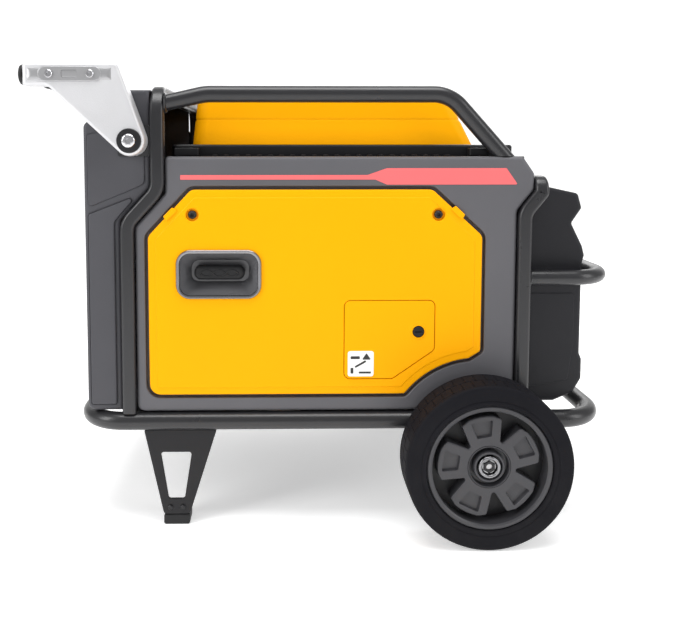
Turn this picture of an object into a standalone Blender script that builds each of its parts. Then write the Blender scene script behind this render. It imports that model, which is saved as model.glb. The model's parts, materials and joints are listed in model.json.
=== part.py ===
"""Portable inverter generator in a tube frame, with two wheels and a folding tow handle.

Metres, +Z up.  X runs along the machine: the tow handle is at the low end, the wheels at the high
end.  The pull starter is on the -Y side.  Lengths are measured from the left or the right hoop,
heights from the centre line of the base loop, and widths from the centre line of its side tubes,
so each end, side and height keeps its own shape when an overall size changes.
"""
import math

import bmesh
import bpy
from mathutils import Vector

# ---------------------------------------------------------------- overall sizes
HOOP_SPAN = 0.6164          # between the centre lines of the two hoops
SIDE_Y = 0.267              # centre line of a side tube
WHEEL_RADIUS = 0.1257
AXLE_DROP = 0.0443          # from the base loop down to the axle
CASE_HEIGHT = 0.416         # top of the fascias
GAP = 0.0004                # between pieces that touch
PLAY = 0.0012               # between pieces that move past each other

# ---------------------------------------------------------------- frame tubes
LOOP_RADIUS = 0.014
LOOP_BEND = 0.063
LOOP_LEFT = 0.0735          # centre line of the end tube, out from the left hoop
LOOP_RIGHT = 0.1291
HOOP_BAND = 0.0215          # width of the flat hoop band
HOOP_THICK = 0.022
LEFT_HOOP_BEND = 0.036
RIGHT_HOOP_BEND = 0.0145
HOOP_EASE = 0.004           # chamfer on the band's edges
LEFT_JOG = 0.0474           # the left hoop leans in by this much
LEFT_JOG_LOW = 0.3126
LEFT_JOG_HIGH = 0.364
LEFT_HOOP_TOP = 0.514       # centre line of the part that crosses over
RIGHT_JOG = 0.0256
RIGHT_JOG_LOW = 0.328
RIGHT_JOG_HIGH = 0.360
RIGHT_HOOP_TOP = 0.375
ROLL_RADIUS = 0.013
ROLL_Y_IN = 0.009           # roll bars stand this far inside the side tubes
ROLL_TOP = 0.512
ROLL_START_DROP = 0.0135    # the bar rises by this much from the left hoop
ROLL_RISE_END = 0.121       # where that rise ends, from the left hoop
ROLL_CORNER = 0.1174        # the sloping leg starts here, in from the right hoop
ROLL_FOOT = 0.0317
ROLL_BEND = 0.055
BUMPER_RADIUS = 0.012
BUMPER_HEIGHT = 0.225
BUMPER_REACH = 0.1406       # centre line, out from the right hoop
BUMPER_Y_IN = 0.007
BUMPER_BEND = 0.058

# ---------------------------------------------------------------- wheels and feet
WHEEL_WIDTH = 0.064
WHEEL_CLEAR = 0.024         # from the side tube's centre line to the wheel's inner face
AXLE_IN = 0.0696            # axle, in from the right hoop
AXLE_RADIUS = 0.010
RIM_RADIUS = 0.0945
RIM_WALL = 0.0065
RIM_DISH = 0.013            # the disc sits this far behind the rim's front edge
DISC_THICK = 0.006
SPOKES = 5
SPOKE_HALF = 0.012          # half of a spoke's width
SPOKE_IN = 0.040
SPOKE_OUT = 0.080
HUB_RADIUS = 0.032
NUT_RADIUS = 0.017
NUT_DEPTH = 0.010
WHEEL_STEPS = 32
FOOT_TOP_LEFT = 0.020       # from the left hoop
FOOT_TOP_RIGHT = 0.136
FOOT_LOW_LEFT = 0.0504
FOOT_LOW_RIGHT = 0.092
FOOT_PAD = 0.016
FOOT_DEEP = 0.034
FOOT_SHEET = 0.004
BRACKET_SHEET = 0.005
BRACKET_HALF = 0.045

# ---------------------------------------------------------------- fascias and door
FACE_PROUD = 0.005          # fascia face, out from the side tube's centre line
FASCIA_DEEP = 0.017
FASCIA_CLEAR = 0.002        # from the base loop to the fascias and end covers
FASCIA_LOW = LOOP_RADIUS + FASCIA_CLEAR
LEDGE = 0.010               # depth from the face to the ledge that carries the door
LEDGE_LAP = 0.008
GROOVE = 0.0055             # groove round the door
EDGE_EASE = 0.006
DOOR_PROUD = 0.0035
DOOR_LEFT = 0.032           # from the left hoop
DOOR_RIGHT = 0.0664         # from the right hoop
DOOR_LOW = 0.043
DOOR_TOP = 0.365
DOOR_SHOULDER = 0.293       # height where the top corners are cut off
DOOR_CUT = 0.067            # how far the left top corner is cut in
DOOR_CUT_RIGHT = 0.078
ARCH_CLEAR = 0.0188         # from the tyre to the door edge round it
ARCH_RADIUS = WHEEL_RADIUS + ARCH_CLEAR
ARCH_RISE = 0.0108          # the door's short right edge starts this far over the arch
ARCH_HIGH = ARCH_RADIUS - AXLE_DROP + ARCH_RISE
SCREW_HEAD = 0.0095
SCREW_IN = 0.0687           # door screws, in from the door's ends
SCREW_DOWN = 0.0385
SCREW_SEAT = 0.005

# ---------------------------------------------------------------- starter
STARTER_LEFT = 0.075        # bezel, from the left hoop
STARTER_LENGTH = 0.132
STARTER_LOW = 0.196
STARTER_HIGH = 0.272
BEZEL_WIDE = 0.0055
BEZEL_CORNER = 0.022
CUP_WALL = 0.002
CUP_DEEP = 0.036
GRIP_LENGTH = 0.079
GRIP_TALL = 0.022
GRIP_THICK = 0.020
ROPE_RADIUS = 0.0024
PULL = 0.35

# ---------------------------------------------------------------- oil hatch
HATCH_LEFT = 0.2801         # from the right hoop
HATCH_RIGHT = 0.1396
HATCH_LOW = 0.0684
HATCH_HIGH = 0.1918
HATCH_THICK = 0.005
HATCH_CUT_SLOPE = 35.05     # of the corner that is cut off, in degrees
HATCH_ARCH_CLEAR = 0.0253   # from the arch to that corner
LOCK_IN = 0.0251            # lock, in from the hatch's right edge
LOCK_UP = 0.0747
LOCK_RADIUS = 0.009

# ---------------------------------------------------------------- top
DECK_THICK = 0.018
DECK_IN = 0.045             # deck edge, in from the side tube's centre line
TANK_COVER_LEFT = 0.095
TANK_COVER_RIGHT = 0.0674
TANK_COVER_SLANT = 0.039
TANK_COVER_HIGH = 0.515
TANK_COVER_Y_IN = 0.047
COVER_WALL = 0.003
CAP_RADIUS = 0.036
CAP_HEIGHT = 0.022

# ---------------------------------------------------------------- end covers
LEFT_COVER_OUT = 0.067      # outer face, out from the left hoop
LEFT_COVER_SHOULDER = 0.464
LEFT_COVER_TOP = 0.518
LEFT_COVER_Y_IN = 0.002
RIGHT_COVER_Y_IN = 0.034
RIGHT_COVER_OUT = 0.1116

# ---------------------------------------------------------------- tow handle
PIVOT_OUT = 0.0115          # pivot, right of the left hoop's leg line
PIVOT_HEIGHT = 0.440
ARM_IN = 0.004              # inner face, out from the side tube's centre line
ARM_THICK = 0.034
EYE_RADIUS = 0.023
BOLT_RADIUS = 0.006
BAR_RISE = 0.0985           # cross-bar, from the pivot
BAR_OUT = 0.1375
BAR_RADIUS = 0.0125
GRIP_RADIUS = 0.017
CAP_REACH = 0.006
LUG_HALF = 0.024

# ---------------------------------------------------------------- worked-out places
LOOP_Z = WHEEL_RADIUS + AXLE_DROP
LEFT_X = -HOOP_SPAN / 2
RIGHT_X = HOOP_SPAN / 2


def from_left(distance):
    """X of a place, measured to the right from the left hoop's leg."""
    return LEFT_X + distance


def from_right(distance):
    """X of a place, measured to the right from the right hoop's leg."""
    return RIGHT_X + distance


def up(height):
    """Z of a place, measured from the centre line of the base loop."""
    return LOOP_Z + height


FACE_Y = SIDE_Y + FACE_PROUD
DOOR_Y = FACE_Y + DOOR_PROUD
AXLE_X = from_right(-AXLE_IN)
WHEEL_Y_IN = SIDE_Y + WHEEL_CLEAR
WHEEL_Y_OUT = WHEEL_Y_IN + WHEEL_WIDTH
PIVOT_X = from_left(PIVOT_OUT)
PIVOT_Z = up(PIVOT_HEIGHT)
BAR_X = PIVOT_X - BAR_OUT
BAR_Z = PIVOT_Z + BAR_RISE
FLOOR_Z = up(LOOP_RADIUS + GAP)          # underside of what stands on the base loop

# ---------------------------------------------------------------- colours: colour, roughness, metal
YELLOW = ((1.0, 0.55, 0.0), 0.35, 0.0)
GREY = ((0.10, 0.10, 0.11), 0.55, 0.0)
DARK = ((0.035, 0.035, 0.038), 0.6, 0.0)
COAT = ((0.022, 0.022, 0.024), 0.35, 0.2)
RUBBER = ((0.02, 0.02, 0.02), 0.8, 0.0)
CHROME = ((0.8, 0.8, 0.82), 0.12, 1.0)
CAST = ((0.6, 0.6, 0.62), 0.35, 1.0)
STEEL = ((0.45, 0.45, 0.46), 0.35, 1.0)
COPPER = ((0.55, 0.25, 0.12), 0.4, 1.0)


def clear_scene():
    """Start from an empty file."""
    for old in list(bpy.data.objects):
        bpy.data.objects.remove(old, do_unlink=True)


def finish(name, look):
    """One plain material for one piece."""
    colour, roughness, metallic = look
    made = bpy.data.materials.new(name + "_finish")
    made.use_nodes = True
    shader = made.node_tree.nodes["Principled BSDF"]
    shader.inputs["Base Color"].default_value = (*colour, 1.0)
    shader.inputs["Roughness"].default_value = roughness
    shader.inputs["Metallic"].default_value = metallic
    return made


def add(name, mesh_maker, look, at=(0.0, 0.0, 0.0)):
    """Turn a bmesh, given in machine coordinates, into a named piece whose origin is at `at`."""
    bm = mesh_maker
    bmesh.ops.remove_doubles(bm, verts=bm.verts, dist=1e-6)
    bmesh.ops.recalc_face_normals(bm, faces=bm.faces)
    bmesh.ops.translate(bm, verts=bm.verts, vec=-Vector(at))
    mesh = bpy.data.meshes.new(name)
    bm.to_mesh(mesh)
    bm.free()
    mesh.materials.append(finish(name, look))
    mesh.shade_smooth()
    mesh.set_sharp_from_angle(angle=math.radians(30))
    piece = bpy.data.objects.new(name, mesh)
    piece.location = at
    piece.parent = bpy.data.objects["machine"]
    bpy.context.scene.collection.objects.link(piece)
    return piece


def cut(piece, cutter):
    """Take the cutter's shape out of the piece."""
    cutter.hide_render = True
    cutter.display_type = "WIRE"
    made = piece.modifiers.new("cut_" + cutter.name, "BOOLEAN")
    made.operation = "DIFFERENCE"
    made.solver = "EXACT"
    made.object = cutter


# ---------------------------------------------------------------- outlines
def arc(centre, radius, start, stop, steps):
    """Points on an arc, angles in degrees."""
    points = []
    for step in range(steps + 1):
        angle = math.radians(start + (stop - start) * step / steps)
        points.append((centre[0] + radius * math.cos(angle), centre[1] + radius * math.sin(angle)))
    return points


def circle(centre, radius, steps, turn=-90.0):
    """A closed round outline that starts at its lowest point."""
    return arc(centre, radius, turn, turn + 360.0, steps)[:-1]


def rounded(corners, steps=3):
    """Closed outline from (u, v, radius) corners, with an arc at every corner that has a radius."""
    points = []
    for index, (u, v, radius) in enumerate(corners):
        here = Vector((u, v))
        if radius <= 0.0:
            points.append((u, v))
            continue
        back = (Vector(corners[index - 1][:2]) - here).normalized()
        ahead = (Vector(corners[(index + 1) % len(corners)][:2]) - here).normalized()
        half = back.angle(ahead) / 2
        centre = here + (back + ahead).normalized() * (radius / math.sin(half))
        start = here + back * (radius / math.tan(half)) - centre
        stop = here + ahead * (radius / math.tan(half)) - centre
        first = math.degrees(math.atan2(start.y, start.x))
        sweep = math.degrees(math.atan2(start.cross(stop), start.dot(stop)))
        points.extend(arc(centre, radius, first, first + sweep, steps))
    return points


def grown(corners, distance):
    """The same corners moved outwards; a negative distance moves them in."""
    area = 0.0
    for index, corner in enumerate(corners):
        last = corners[index - 1]
        area += last[0] * corner[1] - corner[0] * last[1]
    side = distance * math.copysign(1.0, area)
    moved = []
    for index, (u, v, radius) in enumerate(corners):
        here = Vector((u, v))
        along_in = (here - Vector(corners[index - 1][:2])).normalized()
        along_out = (Vector(corners[(index + 1) % len(corners)][:2]) - here).normalized()
        normal_in = Vector((along_in.y, -along_in.x))
        normal_out = Vector((along_out.y, -along_out.x))
        place = here + (normal_in + normal_out) * side / (1.0 + normal_in.dot(normal_out))
        convex = math.copysign(1.0, along_in.cross(along_out) * area)
        size = max(radius + convex * distance, 0.0008) if radius > 0.0 else 0.0
        moved.append((place.x, place.y, size))
    return moved


def box_corners(u_low, u_high, v_low, v_high, radius=0.0):
    """The four corners of a rectangle."""
    return [(u_low, v_low, radius), (u_high, v_low, radius),
            (u_high, v_high, radius), (u_low, v_high, radius)]


def side_line(path, distance):
    """An open path in a plane, moved sideways; a positive distance is to its right."""
    moved = []
    for index, point in enumerate(path):
        here = Vector(point)
        along_in = (here - Vector(path[max(index - 1, 0)]))
        along_out = (Vector(path[min(index + 1, len(path) - 1)]) - here)
        along_in = (along_in if index else along_out).normalized()
        along_out = (along_out if index < len(path) - 1 else along_in).normalized()
        normal_in = Vector((along_in.y, -along_in.x))
        normal_out = Vector((along_out.y, -along_out.x))
        place = here + (normal_in + normal_out) * distance / (1.0 + normal_in.dot(normal_out))
        moved.append((place.x, place.y))
    return moved


# ---------------------------------------------------------------- solids
class Body:
    """A closed solid made of rings on parallel planes, walls between rings and flat ends."""

    def __init__(self, axis="Y"):
        self.bm = bmesh.new()
        self.axis = axis

    def ring(self, outline, depth):
        """Points of an outline on the plane at this depth along the body's axis."""
        order = {"X": (2, 0, 1), "Y": (0, 2, 1), "Z": (0, 1, 2)}[self.axis]
        verts = []
        for u, v in outline:
            values = (u, v, depth)
            verts.append(self.bm.verts.new([values[index] for index in order]))
        return verts

    def wall(self, *rings):
        """Join each ring to the next one."""
        for first, second in zip(rings, rings[1:]):
            for index in range(len(first)):
                corner = (first[index - 1], first[index], second[index], second[index - 1])
                self.bm.faces.new(corner)

    def end(self, *rings):
        """Fill the flat area inside the first ring and outside the others."""
        edges = []
        for ring in rings:
            for index in range(len(ring)):
                pair = (ring[index - 1], ring[index])
                edges.append(self.bm.edges.get(pair) or self.bm.edges.new(pair))
        bmesh.ops.triangle_fill(self.bm, use_beauty=True, edges=edges)


def prism(outer, low, high, axis="Y", holes=(), ease=0.0, steps=3):
    """A straight solid from corner lists, with holes and, where asked, chamfered outer edges."""
    body = Body(axis)
    edge = rounded(outer, steps)
    if ease:
        inner = rounded(grown(outer, -ease), steps)
        rings = [body.ring(inner, low), body.ring(edge, low + ease),
                 body.ring(edge, high - ease), body.ring(inner, high)]
    else:
        rings = [body.ring(edge, low), body.ring(edge, high)]
    body.wall(*rings)
    pairs = [(body.ring(hole, low), body.ring(hole, high)) for hole in holes]
    for pair in pairs:
        body.wall(*pair)
    body.end(rings[0], *[pair[0] for pair in pairs])
    body.end(rings[-1], *[pair[1] for pair in pairs])
    return body.bm


def block(x, y, z, ease=0.0):
    """A box from three (low, high) pairs."""
    return prism(box_corners(*x, *y), *z, axis="Z", ease=ease)


def turned(profile, axis, centre, steps, closed=False):
    """A solid of revolution from (radius, depth) points.

    An open profile starts and ends on the axis' own flat ends; a closed one is a ring.
    """
    body = Body(axis)
    rings = [body.ring(circle(centre, radius, steps), depth) for radius, depth in profile]
    body.wall(*rings)
    if closed:
        body.wall(rings[-1], rings[0])
    else:
        body.end(rings[0])
        body.end(rings[-1])
    return body.bm


def bent(corners, radius, steps=5):
    """An open or closed path in space with round bends of one radius at its inner corners."""
    path = [Vector(corners[0])]
    for index in range(1, len(corners) - 1):
        here = Vector(corners[index])
        back = (Vector(corners[index - 1]) - here).normalized()
        ahead = (Vector(corners[index + 1]) - here).normalized()
        half = back.angle(ahead) / 2
        reach = radius / math.tan(half)
        centre = here + (back + ahead).normalized() * (radius / math.sin(half))
        start = (here + back * reach - centre).normalized()
        stop = (here + ahead * reach - centre).normalized()
        for step in range(steps + 1):
            path.append(centre + start.slerp(stop, step / steps) * radius)
    path.append(Vector(corners[-1]))
    return path


def swept(path, section, reference, closed=False):
    """Sweep a section of (side, rise) points along a path; `side` lies nearest to `reference`."""
    bm = bmesh.new()
    rings = []
    count = len(path)
    for index, here in enumerate(path):
        last = path[index - 1] if index or closed else None
        following = path[(index + 1) % count] if index < count - 1 or closed else None
        ahead = (following - here).normalized() if following is not None else None
        along = (here - last).normalized() if last is not None else ahead
        ahead = along if ahead is None else ahead
        plane = (along + ahead).normalized()
        side = (reference - along * reference.dot(along)).normalized()
        rise = along.cross(side)
        ring = []
        for across, high in section:
            offset = side * across + rise * high
            offset = offset - along * (offset.dot(plane) / along.dot(plane))
            ring.append(bm.verts.new(here + offset))
        rings.append(ring)
    pairs = list(zip(rings, rings[1:]))
    if closed:
        pairs.append((rings[-1], rings[0]))
    for first, second in pairs:
        for index in range(len(first)):
            bm.faces.new((first[index - 1], first[index], second[index], second[index - 1]))
    if not closed:
        bm.faces.new(rings[0])
        bm.faces.new(rings[-1])
    return bm


# ---------------------------------------------------------------- tube frame
def disc(radius, steps=10):
    """Section of a round tube."""
    return circle((0.0, 0.0), radius, steps)


def band():
    """Section of the flat hoop band, with eased edges."""
    half, deep, ease = HOOP_BAND / 2, HOOP_THICK / 2, HOOP_EASE
    return [(-half, -deep + ease), (-half + ease, -deep), (half - ease, -deep), (half, -deep + ease),
            (half, deep - ease), (half - ease, deep), (-half + ease, deep), (-half, deep - ease)]


LEFT_LEG = [(LEFT_X, FLOOR_Z), (LEFT_X, up(LEFT_JOG_LOW)), (from_left(LEFT_JOG), up(LEFT_JOG_HIGH)),
            (from_left(LEFT_JOG), up(LEFT_HOOP_TOP))]
RIGHT_LEG = [(RIGHT_X, FLOOR_Z), (RIGHT_X, up(RIGHT_JOG_LOW)), (from_right(RIGHT_JOG), up(RIGHT_JOG_HIGH)),
             (from_right(RIGHT_JOG), up(RIGHT_HOOP_TOP))]


def make_base_loop():
    left = LEFT_X - LOOP_LEFT
    right = RIGHT_X + LOOP_RIGHT
    corners = [(0.0, -SIDE_Y, LOOP_Z), (right, -SIDE_Y, LOOP_Z), (right, SIDE_Y, LOOP_Z),
               (left, SIDE_Y, LOOP_Z), (left, -SIDE_Y, LOOP_Z), (0.0, -SIDE_Y, LOOP_Z)]
    path = bent(corners, LOOP_BEND, steps=5)[:-1]
    add("base_loop", swept(path, disc(LOOP_RADIUS), Vector((0, 0, 1)), closed=True), COAT)


def make_hoop(name, leg, radius):
    """An inverted U of flat band that stands on both side tubes."""
    near = [(x, -SIDE_Y, z) for x, z in leg]
    far = [(x, SIDE_Y, z) for x, z in reversed(leg)]
    path = [Vector(point) for point in near[:-1]]
    turn = bent([near[-2], near[-1], far[0], far[1]], radius, steps=4)
    path += turn[1:-1]
    path += [Vector(point) for point in far[1:]]
    add(name, swept(path, band(), Vector((1, 0, 0))), COAT)


def make_roll_bar(name, side):
    """Bar from the left hoop along the top and down to the fascia."""
    y = side * (SIDE_Y - ROLL_Y_IN)
    start_x = from_left(LEFT_JOG) + HOOP_BAND / 2 + GAP
    rise_x = from_left(ROLL_RISE_END)
    corner_x = from_right(-ROLL_CORNER)
    foot_x = from_right(-ROLL_FOOT)
    foot_z = up(CASE_HEIGHT) + GAP
    top = up(ROLL_TOP)
    corners = [(start_x, y, top - ROLL_START_DROP), (rise_x, y, top), (corner_x, y, top), (foot_x, y, foot_z)]
    path = [Vector(corners[0])]
    path += bent(corners[:3], ROLL_BEND * 1.5, steps=3)[1:-1]
    path += bent(corners[1:], ROLL_BEND, steps=5)[1:-1]
    bm = swept(path + [Vector(corners[3])], disc(ROLL_RADIUS), Vector((0, 1, 0)))
    for vert in bm.verts:                       # the ends meet an upright face and a level face
        if (vert.co - Vector(corners[0])).length < ROLL_RADIUS * 1.01:
            vert.co.x = start_x
        if (vert.co - Vector(corners[3])).length < ROLL_RADIUS * 1.01:
            slope = (path[-1] - Vector(corners[3])).normalized()
            vert.co += slope * ((foot_z - vert.co.z) / slope.z)
    add(name, bm, COAT)


def make_end_bumper():
    """Bar round the wheel end, between the two legs of the right hoop."""
    y = SIDE_Y - BUMPER_Y_IN
    start_x = RIGHT_X + HOOP_BAND / 2 + GAP
    reach = RIGHT_X + BUMPER_REACH
    z = up(BUMPER_HEIGHT)
    corners = [(start_x, -y, z), (reach, -y, z), (reach, y, z), (start_x, y, z)]
    path = bent(corners, BUMPER_BEND, steps=5)
    add("end_bumper", swept(path, disc(BUMPER_RADIUS), Vector((0, 0, 1))), COAT)


PAN_CLEAR = 0.0015          # from the side tube to the floor pan
PAN_Y_IN = LOOP_RADIUS + PAN_CLEAR
PAN_THICK = 0.003
PAN_Z = up(0.004)           # top of the floor pan
PAN_LEFT = 0.006
PAN_RIGHT = 0.004


def make_floor_pan():
    """Sheet pan between the side tubes, which everything inside stands on."""
    y = SIDE_Y - PAN_Y_IN
    corners = box_corners(LEFT_X - PAN_LEFT, RIGHT_X + PAN_RIGHT, -y, y, 0.02)
    add("floor_pan", prism(corners, PAN_Z - PAN_THICK, PAN_Z, axis="Z"), COAT)


HUB_FACE = WHEEL_Y_OUT - 0.006           # front of the hub and of the nut in it
AXLE_END = HUB_FACE - NUT_DEPTH / 2


def make_axle():
    shape = [(AXLE_RADIUS, -AXLE_END), (AXLE_RADIUS, AXLE_END)]
    add("axle", turned(shape, "Y", (AXLE_X, WHEEL_RADIUS), 20), STEEL)


def make_axle_bracket(name, side):
    """Plate under the floor pan with a hole for the axle."""
    low = WHEEL_RADIUS - AXLE_RADIUS - 0.012
    high = PAN_Z - PAN_THICK - GAP
    corners = [(AXLE_X - BRACKET_HALF / 2, low, 0.008), (AXLE_X + BRACKET_HALF / 2, low, 0.008),
               (AXLE_X + BRACKET_HALF, high, 0.0), (AXLE_X - BRACKET_HALF, high, 0.0)]
    hole = circle((AXLE_X, WHEEL_RADIUS), AXLE_RADIUS + PLAY / 4, 20)
    y = side * (SIDE_Y - PAN_Y_IN - 0.012)
    edges = sorted((y, y - side * BRACKET_SHEET))
    add(name, prism(corners, *edges, holes=[hole]), COAT)


def make_foot(side_name, side):
    """Pressed foot bracket under the base loop, with its rubber pad."""
    high = LOOP_Z - LOOP_RADIUS - GAP
    low = FOOT_PAD + GAP
    bottom_left, bottom_right = from_left(FOOT_LOW_LEFT), from_left(FOOT_LOW_RIGHT)
    corners = [(bottom_left, low, 0.006), (bottom_right, low, 0.006),
               (from_left(FOOT_TOP_RIGHT), high, 0.004), (from_left(FOOT_TOP_LEFT), high, 0.004)]
    middle = (bottom_left + bottom_right) / 2
    hole_low, hole_high = low + 0.026, high - 0.0375
    hole_corners = [(middle - 0.0126, hole_low, 0.003), (middle + 0.0126, hole_low, 0.003),
                    (middle + 0.0245, hole_high, 0.003), (middle - 0.0245, hole_high, 0.003)]
    front = side * (SIDE_Y - 0.001)
    back = front - side * FOOT_DEEP
    sheet = front - side * FOOT_SHEET
    body = Body("Y")
    outer, inner, hole = rounded(corners), rounded(grown(corners, -FOOT_SHEET)), rounded(hole_corners)
    rings = [body.ring(outer, front), body.ring(outer, back), body.ring(inner, back), body.ring(inner, sheet)]
    body.wall(*rings)
    hole_rings = [body.ring(hole, front), body.ring(hole, sheet)]
    body.wall(*hole_rings)
    body.end(rings[0], hole_rings[0])
    body.end(rings[3], hole_rings[1])
    add("foot_bracket_" + side_name, body.bm, COAT)
    depth = sorted((front, back))
    pad = block((bottom_left, bottom_right), depth, (0.0, FOOT_PAD), ease=0.003)
    add("foot_pad_" + side_name, pad, RUBBER)


# ---------------------------------------------------------------- wheels
def make_tyre(name, side):
    """Solid tyre with rounded shoulders."""
    inner = RIM_RADIUS + GAP
    mid = WHEEL_Y_IN + WHEEL_WIDTH / 2
    half = WHEEL_WIDTH / 2
    shape = [(inner, -half + 0.003), (inner, half - 0.003), (inner + 0.003, half), (inner + 0.018, half - 0.001),
             (WHEEL_RADIUS - 0.004, half - 0.008), (WHEEL_RADIUS, half - 0.020),
             (WHEEL_RADIUS, -half + 0.020), (WHEEL_RADIUS - 0.004, -half + 0.008),
             (inner + 0.018, -half + 0.001), (inner + 0.003, -half)]
    profile = [(radius, side * mid + depth) for radius, depth in shape]
    bm = turned(profile, "Y", (AXLE_X, WHEEL_RADIUS), WHEEL_STEPS, closed=True)
    add(name, bm, RUBBER, at=(AXLE_X, side * mid, WHEEL_RADIUS))


def spoke_window(index):
    """One of the openings between the spokes, as a rounded outline."""
    pitch = 360.0 / SPOKES
    middle = 90.0 + pitch * (index + 0.5)
    centre = (AXLE_X, WHEEL_RADIUS)
    corners = []
    for radius, turns in ((SPOKE_IN, (-1, 1)), (SPOKE_OUT, (1, 0.33, -0.33, -1))):
        half = pitch / 2 - math.degrees(math.asin(SPOKE_HALF / radius))
        for turn in turns:
            angle = math.radians(middle + half * turn)
            ease = 0.005 if abs(turn) == 1 else 0.0
            corners.append((centre[0] + radius * math.cos(angle), centre[1] + radius * math.sin(angle), ease))
    return rounded(corners, 1)


def make_rim(name, side):
    """Moulded rim: barrel, dished disc with openings, and hub."""
    centre = (AXLE_X, WHEEL_RADIUS)

    def ring(radius, depth):
        return body.ring(circle(centre, radius, WHEEL_STEPS), side * depth)

    body = Body("Y")
    front, back = WHEEL_Y_OUT - 0.004, WHEEL_Y_IN + 0.003
    disc_front, disc_back = front - RIM_DISH, front - RIM_DISH - DISC_THICK
    hub_front, hub_back = HUB_FACE, back + 0.002
    barrel = RIM_RADIUS - RIM_WALL
    outer = [ring(barrel, disc_front), ring(barrel, front), ring(RIM_RADIUS, front), ring(RIM_RADIUS, back),
             ring(barrel, back), ring(barrel, disc_back)]
    bore = AXLE_RADIUS + PLAY / 4
    hub = [ring(HUB_RADIUS, disc_front), ring(HUB_RADIUS - 0.004, hub_front), ring(NUT_RADIUS + 0.0015, hub_front),
           ring(NUT_RADIUS + 0.0015, hub_front - NUT_DEPTH - GAP), ring(bore, hub_front - NUT_DEPTH - GAP),
           ring(bore, hub_back), ring(HUB_RADIUS - 0.006, hub_back), ring(HUB_RADIUS - 0.006, disc_back)]
    body.wall(*outer)
    body.wall(*hub)
    windows = [spoke_window(index) for index in range(SPOKES)]
    window_rings = [(body.ring(w, side * disc_front), body.ring(w, side * disc_back)) for w in windows]
    for pair in window_rings:
        body.wall(*pair)
    body.end(outer[0], hub[0], *[pair[0] for pair in window_rings])
    body.end(outer[-1], hub[-1], *[pair[1] for pair in window_rings])
    add(name, body.bm, DARK, at=(AXLE_X, side * (WHEEL_Y_IN + WHEEL_WIDTH / 2), WHEEL_RADIUS))


def make_axle_nut(name, side):
    """Nut and washer recessed in the hub, which hold the wheel on the axle."""
    outer_face = HUB_FACE
    inner_face = outer_face - NUT_DEPTH
    centre = (AXLE_X, WHEEL_RADIUS)
    bore = AXLE_RADIUS + PLAY / 4
    axle_end = AXLE_END + GAP
    shape = [(bore, inner_face), (NUT_RADIUS, inner_face), (NUT_RADIUS, inner_face + 0.003),
             (NUT_RADIUS - 0.004, inner_face + 0.003), (NUT_RADIUS - 0.004, outer_face), (0.004, outer_face),
             (0.004, axle_end), (bore, axle_end)]
    profile = [(radius, side * depth) for radius, depth in shape]
    add(name, turned(profile, "Y", centre, 18, closed=True), CHROME, at=(AXLE_X, side * inner_face, WHEEL_RADIUS))


# ---------------------------------------------------------------- fascias and door
def fascia_corners():
    """Outline of a fascia: it follows both hoops and slants down at its right top corner."""
    edge = HOOP_BAND / 2 + 2 * GAP
    left = side_line(LEFT_LEG, edge)
    right = side_line(RIGHT_LEG, -edge)
    low, high = up(FASCIA_LOW), up(CASE_HEIGHT)
    slant = up(CASE_HEIGHT - 0.026)
    return [(left[0][0], low, 0.012), (right[0][0], low, 0.012), (*right[1], 0.004), (*right[2], 0.004),
            (right[2][0], slant, 0.004), (right[2][0] - 0.018, high, 0.004), (left[2][0], high, 0.006),
            (*left[2], 0.004), (*left[1], 0.004)]


def door_corners():
    """Outline of the door, with cut top corners and an arch round the wheel."""
    left, right = from_left(DOOR_LEFT), from_right(-DOOR_RIGHT)
    low, high, shoulder = up(DOOR_LOW), up(DOOR_TOP), up(DOOR_SHOULDER)
    start = math.degrees(math.acos((low - WHEEL_RADIUS) / ARCH_RADIUS)) + 90.0
    stop = 96.0
    arch = arc((AXLE_X, WHEEL_RADIUS), ARCH_RADIUS, start, stop, 6)
    corners = [(left, low, 0.017)]
    corners += [(x, z, 0.004 if index in (0, 6) else 0.0) for index, (x, z) in enumerate(arch)]
    corners += [(right, up(ARCH_HIGH), 0.006), (right, shoulder, 0.014), (right - DOOR_CUT_RIGHT, high, 0.014),
                (left + DOOR_CUT, high, 0.014), (left, shoulder, 0.014)]
    return corners


def starter_corners():
    left = from_left(STARTER_LEFT)
    return box_corners(left, left + STARTER_LENGTH, up(STARTER_LOW), up(STARTER_HIGH), BEZEL_CORNER)


def hatch_corners():
    """Oil hatch with one corner cut off."""
    left, right = from_right(-HATCH_LEFT), from_right(-HATCH_RIGHT)
    low, high = up(HATCH_LOW), up(HATCH_HIGH)
    slope = math.radians(HATCH_CUT_SLOPE)
    reach = ARCH_RADIUS + HATCH_ARCH_CLEAR
    cut_low = AXLE_X - (reach - (low - WHEEL_RADIUS) * math.cos(slope)) / math.sin(slope)
    cut_high = WHEEL_RADIUS + (reach + (right - AXLE_X) * math.sin(slope)) / math.cos(slope)
    return [(left, low, 0.009), (cut_low, low, 0.009), (right, cut_high, 0.009), (right, high, 0.009),
            (left, high, 0.009)]


def screw_places():
    """Centres of the two door screws."""
    z = up(DOOR_TOP - SCREW_DOWN)
    return {"left": (from_left(DOOR_LEFT + SCREW_IN), z), "right": (from_right(-DOOR_RIGHT - SCREW_IN), z)}


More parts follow.
